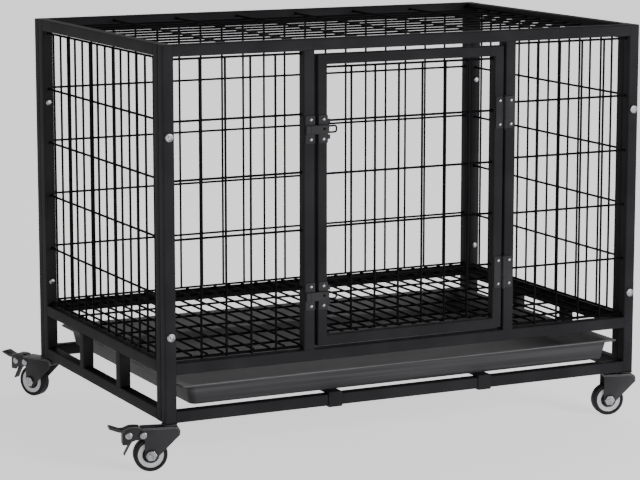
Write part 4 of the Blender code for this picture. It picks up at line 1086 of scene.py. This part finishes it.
# The heads of the axle bolt and of the pedal's rivets, each from (distance out, radius) pairs
axle_head = ((0.0, 12.1), (4.1, 12.1), (4.9, 10.7))
dome = ((0.0, 7.3), (0.7, 7.3), (1.3, 6.5), (1.7, 5.0), (1.8, 2.4))
outside = FORK_OUT + JOINT_GAP
for corner, yaw in yaws.items():
    x = middle if corner.endswith("left") else LENGTH - middle
    y = middle if corner.startswith("front") else DEPTH - middle
    place = Matrix.Translation((x, y, 0)) @ Matrix.Rotation(math.radians(180 + yaw), 4, "Z")
    name = f"caster_stem_{corner}"
    stem = turned(stem_profile, (0, 0, 0), (0, 0, 1), 40)
    piece(f"{name}_steel", [(CASTER_PAINT, [stem])], "cage", [name], place)
    braked = corner.endswith("left")
    outline = [*under_top, *(ear if braked else plain_end), *foot_arc]
    top_path = [*sheet_path, (EAR_END if braked else FORK_END, FORK_TOP)]
    # The fork's rounded folds are gathered here to carry the painted highlight
    highlit_folds = []
    fork = [
        cheek(outline, -FORK_OUT, -FORK_IN),
        cheek(outline, FORK_IN, FORK_OUT),
        strip(top_path, FORK_SHEET, -FORK_OUT - PROUD, FORK_OUT + PROUD, 0.9, highlit_folds),
    ]
    name = f"caster_fork_{corner}"
    coats = [(CASTER_PAINT, fork), (FOLD_HIGHLIGHT_PAINT, highlit_folds)]
    piece(f"{name}_pressing", coats, f"caster_{corner}", [name], place)
    heart = (TRAIL, 0, AXLE_Z)
    across = (0, 1, 0)
    name = f"caster_tyre_{corner}"
    tyre = ring(both_ways(tyre_side), heart, across, 96)
    piece(f"{name}_rubber", [(TYRE_RUBBER, [tyre])], f"wheel_{corner}", [name], place)
    name = f"caster_hub_{corner}"
    rim = ring(both_ways(rim_side), heart, across)
    cover = ring(both_ways(cover_side), heart, across)
    coats = [(RIM_NYLON, [rim]), (TYRE_RUBBER, [cover])]
    piece(f"{name}_rim", coats, f"wheel_{corner}", [name], place)
    name = f"caster_axle_{corner}"
    bolt = [cross_pin(TRAIL, AXLE_Z, ((-outside - 3, PIN), (outside + 3, PIN)))]
    for sign in (-1, 1):
        levels = [(sign * (outside + out), radius) for out, radius in axle_head]
        bolt.append(eased(cross_pin(TRAIL, AXLE_Z, levels, 6), 0.3))
    piece(f"{name}_bolt", [(ZINC, bolt)], f"caster_{corner}", [name], place)
    if not braked:
        continue
    # The pedal's rounded folds are gathered here to carry the painted highlight
    highlit_folds = []
    lever = [
        cheek(lever_side, -LEVER_HALF, -LEVER_HALF + LEVER_SHEET),
        cheek(lever_side, LEVER_HALF - LEVER_SHEET, LEVER_HALF),
        cheek(lever_end, -LEVER_HALF, LEVER_HALF),
        strip(lever_top, LEVER_TOP_SHEET, -LEVER_HALF, LEVER_HALF, 0.8, highlit_folds),
        strip(tread, TREAD_FLANGE, -LEVER_HALF - PROUD, -LEVER_HALF + LEVER_SHEET, 0.5, highlit_folds),
        strip(tread, TREAD_FLANGE, LEVER_HALF - LEVER_SHEET, LEVER_HALF + PROUD, 0.5, highlit_folds),
        strip(spring_leaf, SPRING_SHEET, -SPRING_HALF, SPRING_HALF, 0.4),
    ]
    domes = []
    for (u, z), reach in ((PIVOT, outside), (LEVER_RIVET, LEVER_HALF)):
        domes.append(cross_pin(u, z, ((-reach, PIN), (reach, PIN))))
        for sign in (-1, 1):
            domes.append(cross_pin(u, z, [(sign * (reach + out), radius) for out, radius in dome], 36))
    name = f"brake_pedal_{corner}"
    coats = [(CASTER_PAINT, lever), (FOLD_HIGHLIGHT_PAINT, highlit_folds), (ZINC, domes)]
    piece(f"{name}_lever", coats, f"brake_{corner}", [name], place)

# Studio
# A pale matt floor that glows softly like a light table, white walls all round and a dark ceiling,
# with one broad lamp at the front right, so that upright faces are clear and level ones stay dark.

# Half the floor's side, in metres
FLOOR_HALF = 14.0
floor_mesh = bpy.data.meshes.new("studio_floor")
floor_corners = [(x * FLOOR_HALF, y * FLOOR_HALF, 0) for x, y in ((-1, -1), (1, -1), (1, 1), (-1, 1))]
floor_mesh.from_pydata(floor_corners, [], [(0, 1, 2, 3)])
studio_floor = bpy.data.objects.new("studio_floor", floor_mesh)
bpy.context.scene.collection.objects.link(studio_floor)
# Painted board: pale and matt, and unevenly washed over more than half a metre
board, tree, place, shader = finish(
    "pale_matt_floor", Roughness=0.9, Specular_IOR_Level=0.2, Emission_Strength=1.0
)
clouds = {"Vector": (place, "Object"), "Scale": 1.5, "Detail": 2.0}
wash = add_node(tree, "ShaderNodeTexNoise", clouds)
tones = ((0.0, "#f2f2f2"), (1.0, "#f7f7f7"))
tone = add_node(tree, "ShaderNodeValToRGB", {"Fac": (wash, "Fac")}, tones)
tree.links.new(tone.outputs["Color"], shader.inputs["Base Color"])
floor_mesh.materials.append(board)

world = bpy.data.worlds.new("white_walls_dark_ceiling")
world.use_nodes = True
tree = world.node_tree
way = add_node(tree, "ShaderNodeTexCoord")
# The ceiling leans down towards the front left, so that the cage's back and right side see more of
# the white walls
lean = {0: (way, "Generated"), 1: (-0.15, -0.25, 1.0)}
rise = add_node(tree, "ShaderNodeVectorMath", lean, operation="DOT_PRODUCT")
tones = ((0.2, "#ffffff"), (0.55, "#303030"))
walls = add_node(tree, "ShaderNodeValToRGB", {"Fac": (rise, "Value")}, tones)
tree.links.new(walls.outputs["Color"], tree.nodes["Background"].inputs["Color"])
tree.nodes["Background"].inputs["Strength"].default_value = 1.4
bpy.context.scene.world = world

lamp = bpy.data.lights.new("front_softbox", "AREA")
lamp.shape = "SQUARE"
lamp.size = 3.0
lamp.energy = 230.0
holder = bpy.data.objects.new("front_softbox", lamp)
holder.location = (2.6, -5.2, 1.6)
# It faces the middle of the cage
aim = Vector((0, 0, 0.45)) - holder.location
holder.rotation_euler = aim.to_track_quat("-Z", "Y").to_euler()
bpy.context.scene.collection.objects.link(holder)

# A product shot from the front left and a little above, on a long lens. The standpoint is measured from
# the frame's foot in metres, and the camera looks down and to the right of straight on by these degrees
STANDPOINT = (-1.9527, -4.6783, 1.2527)
LOOKING_DOWN = 9.685
LOOKING_RIGHT = 26.272
view = bpy.data.cameras.new("photograph_view")
view.sensor_width = 36.0
view.lens = 140.73
view.clip_start = 0.1
view.clip_end = 60.0
camera = bpy.data.objects.new("photograph_view", view)
camera.location = FOOT + Vector(STANDPOINT)
camera.rotation_euler = (math.radians(90 - LOOKING_DOWN), 0, math.radians(-LOOKING_RIGHT))
bpy.context.scene.collection.objects.link(camera)
bpy.context.scene.camera = camera

bpy.context.view_layer.update()
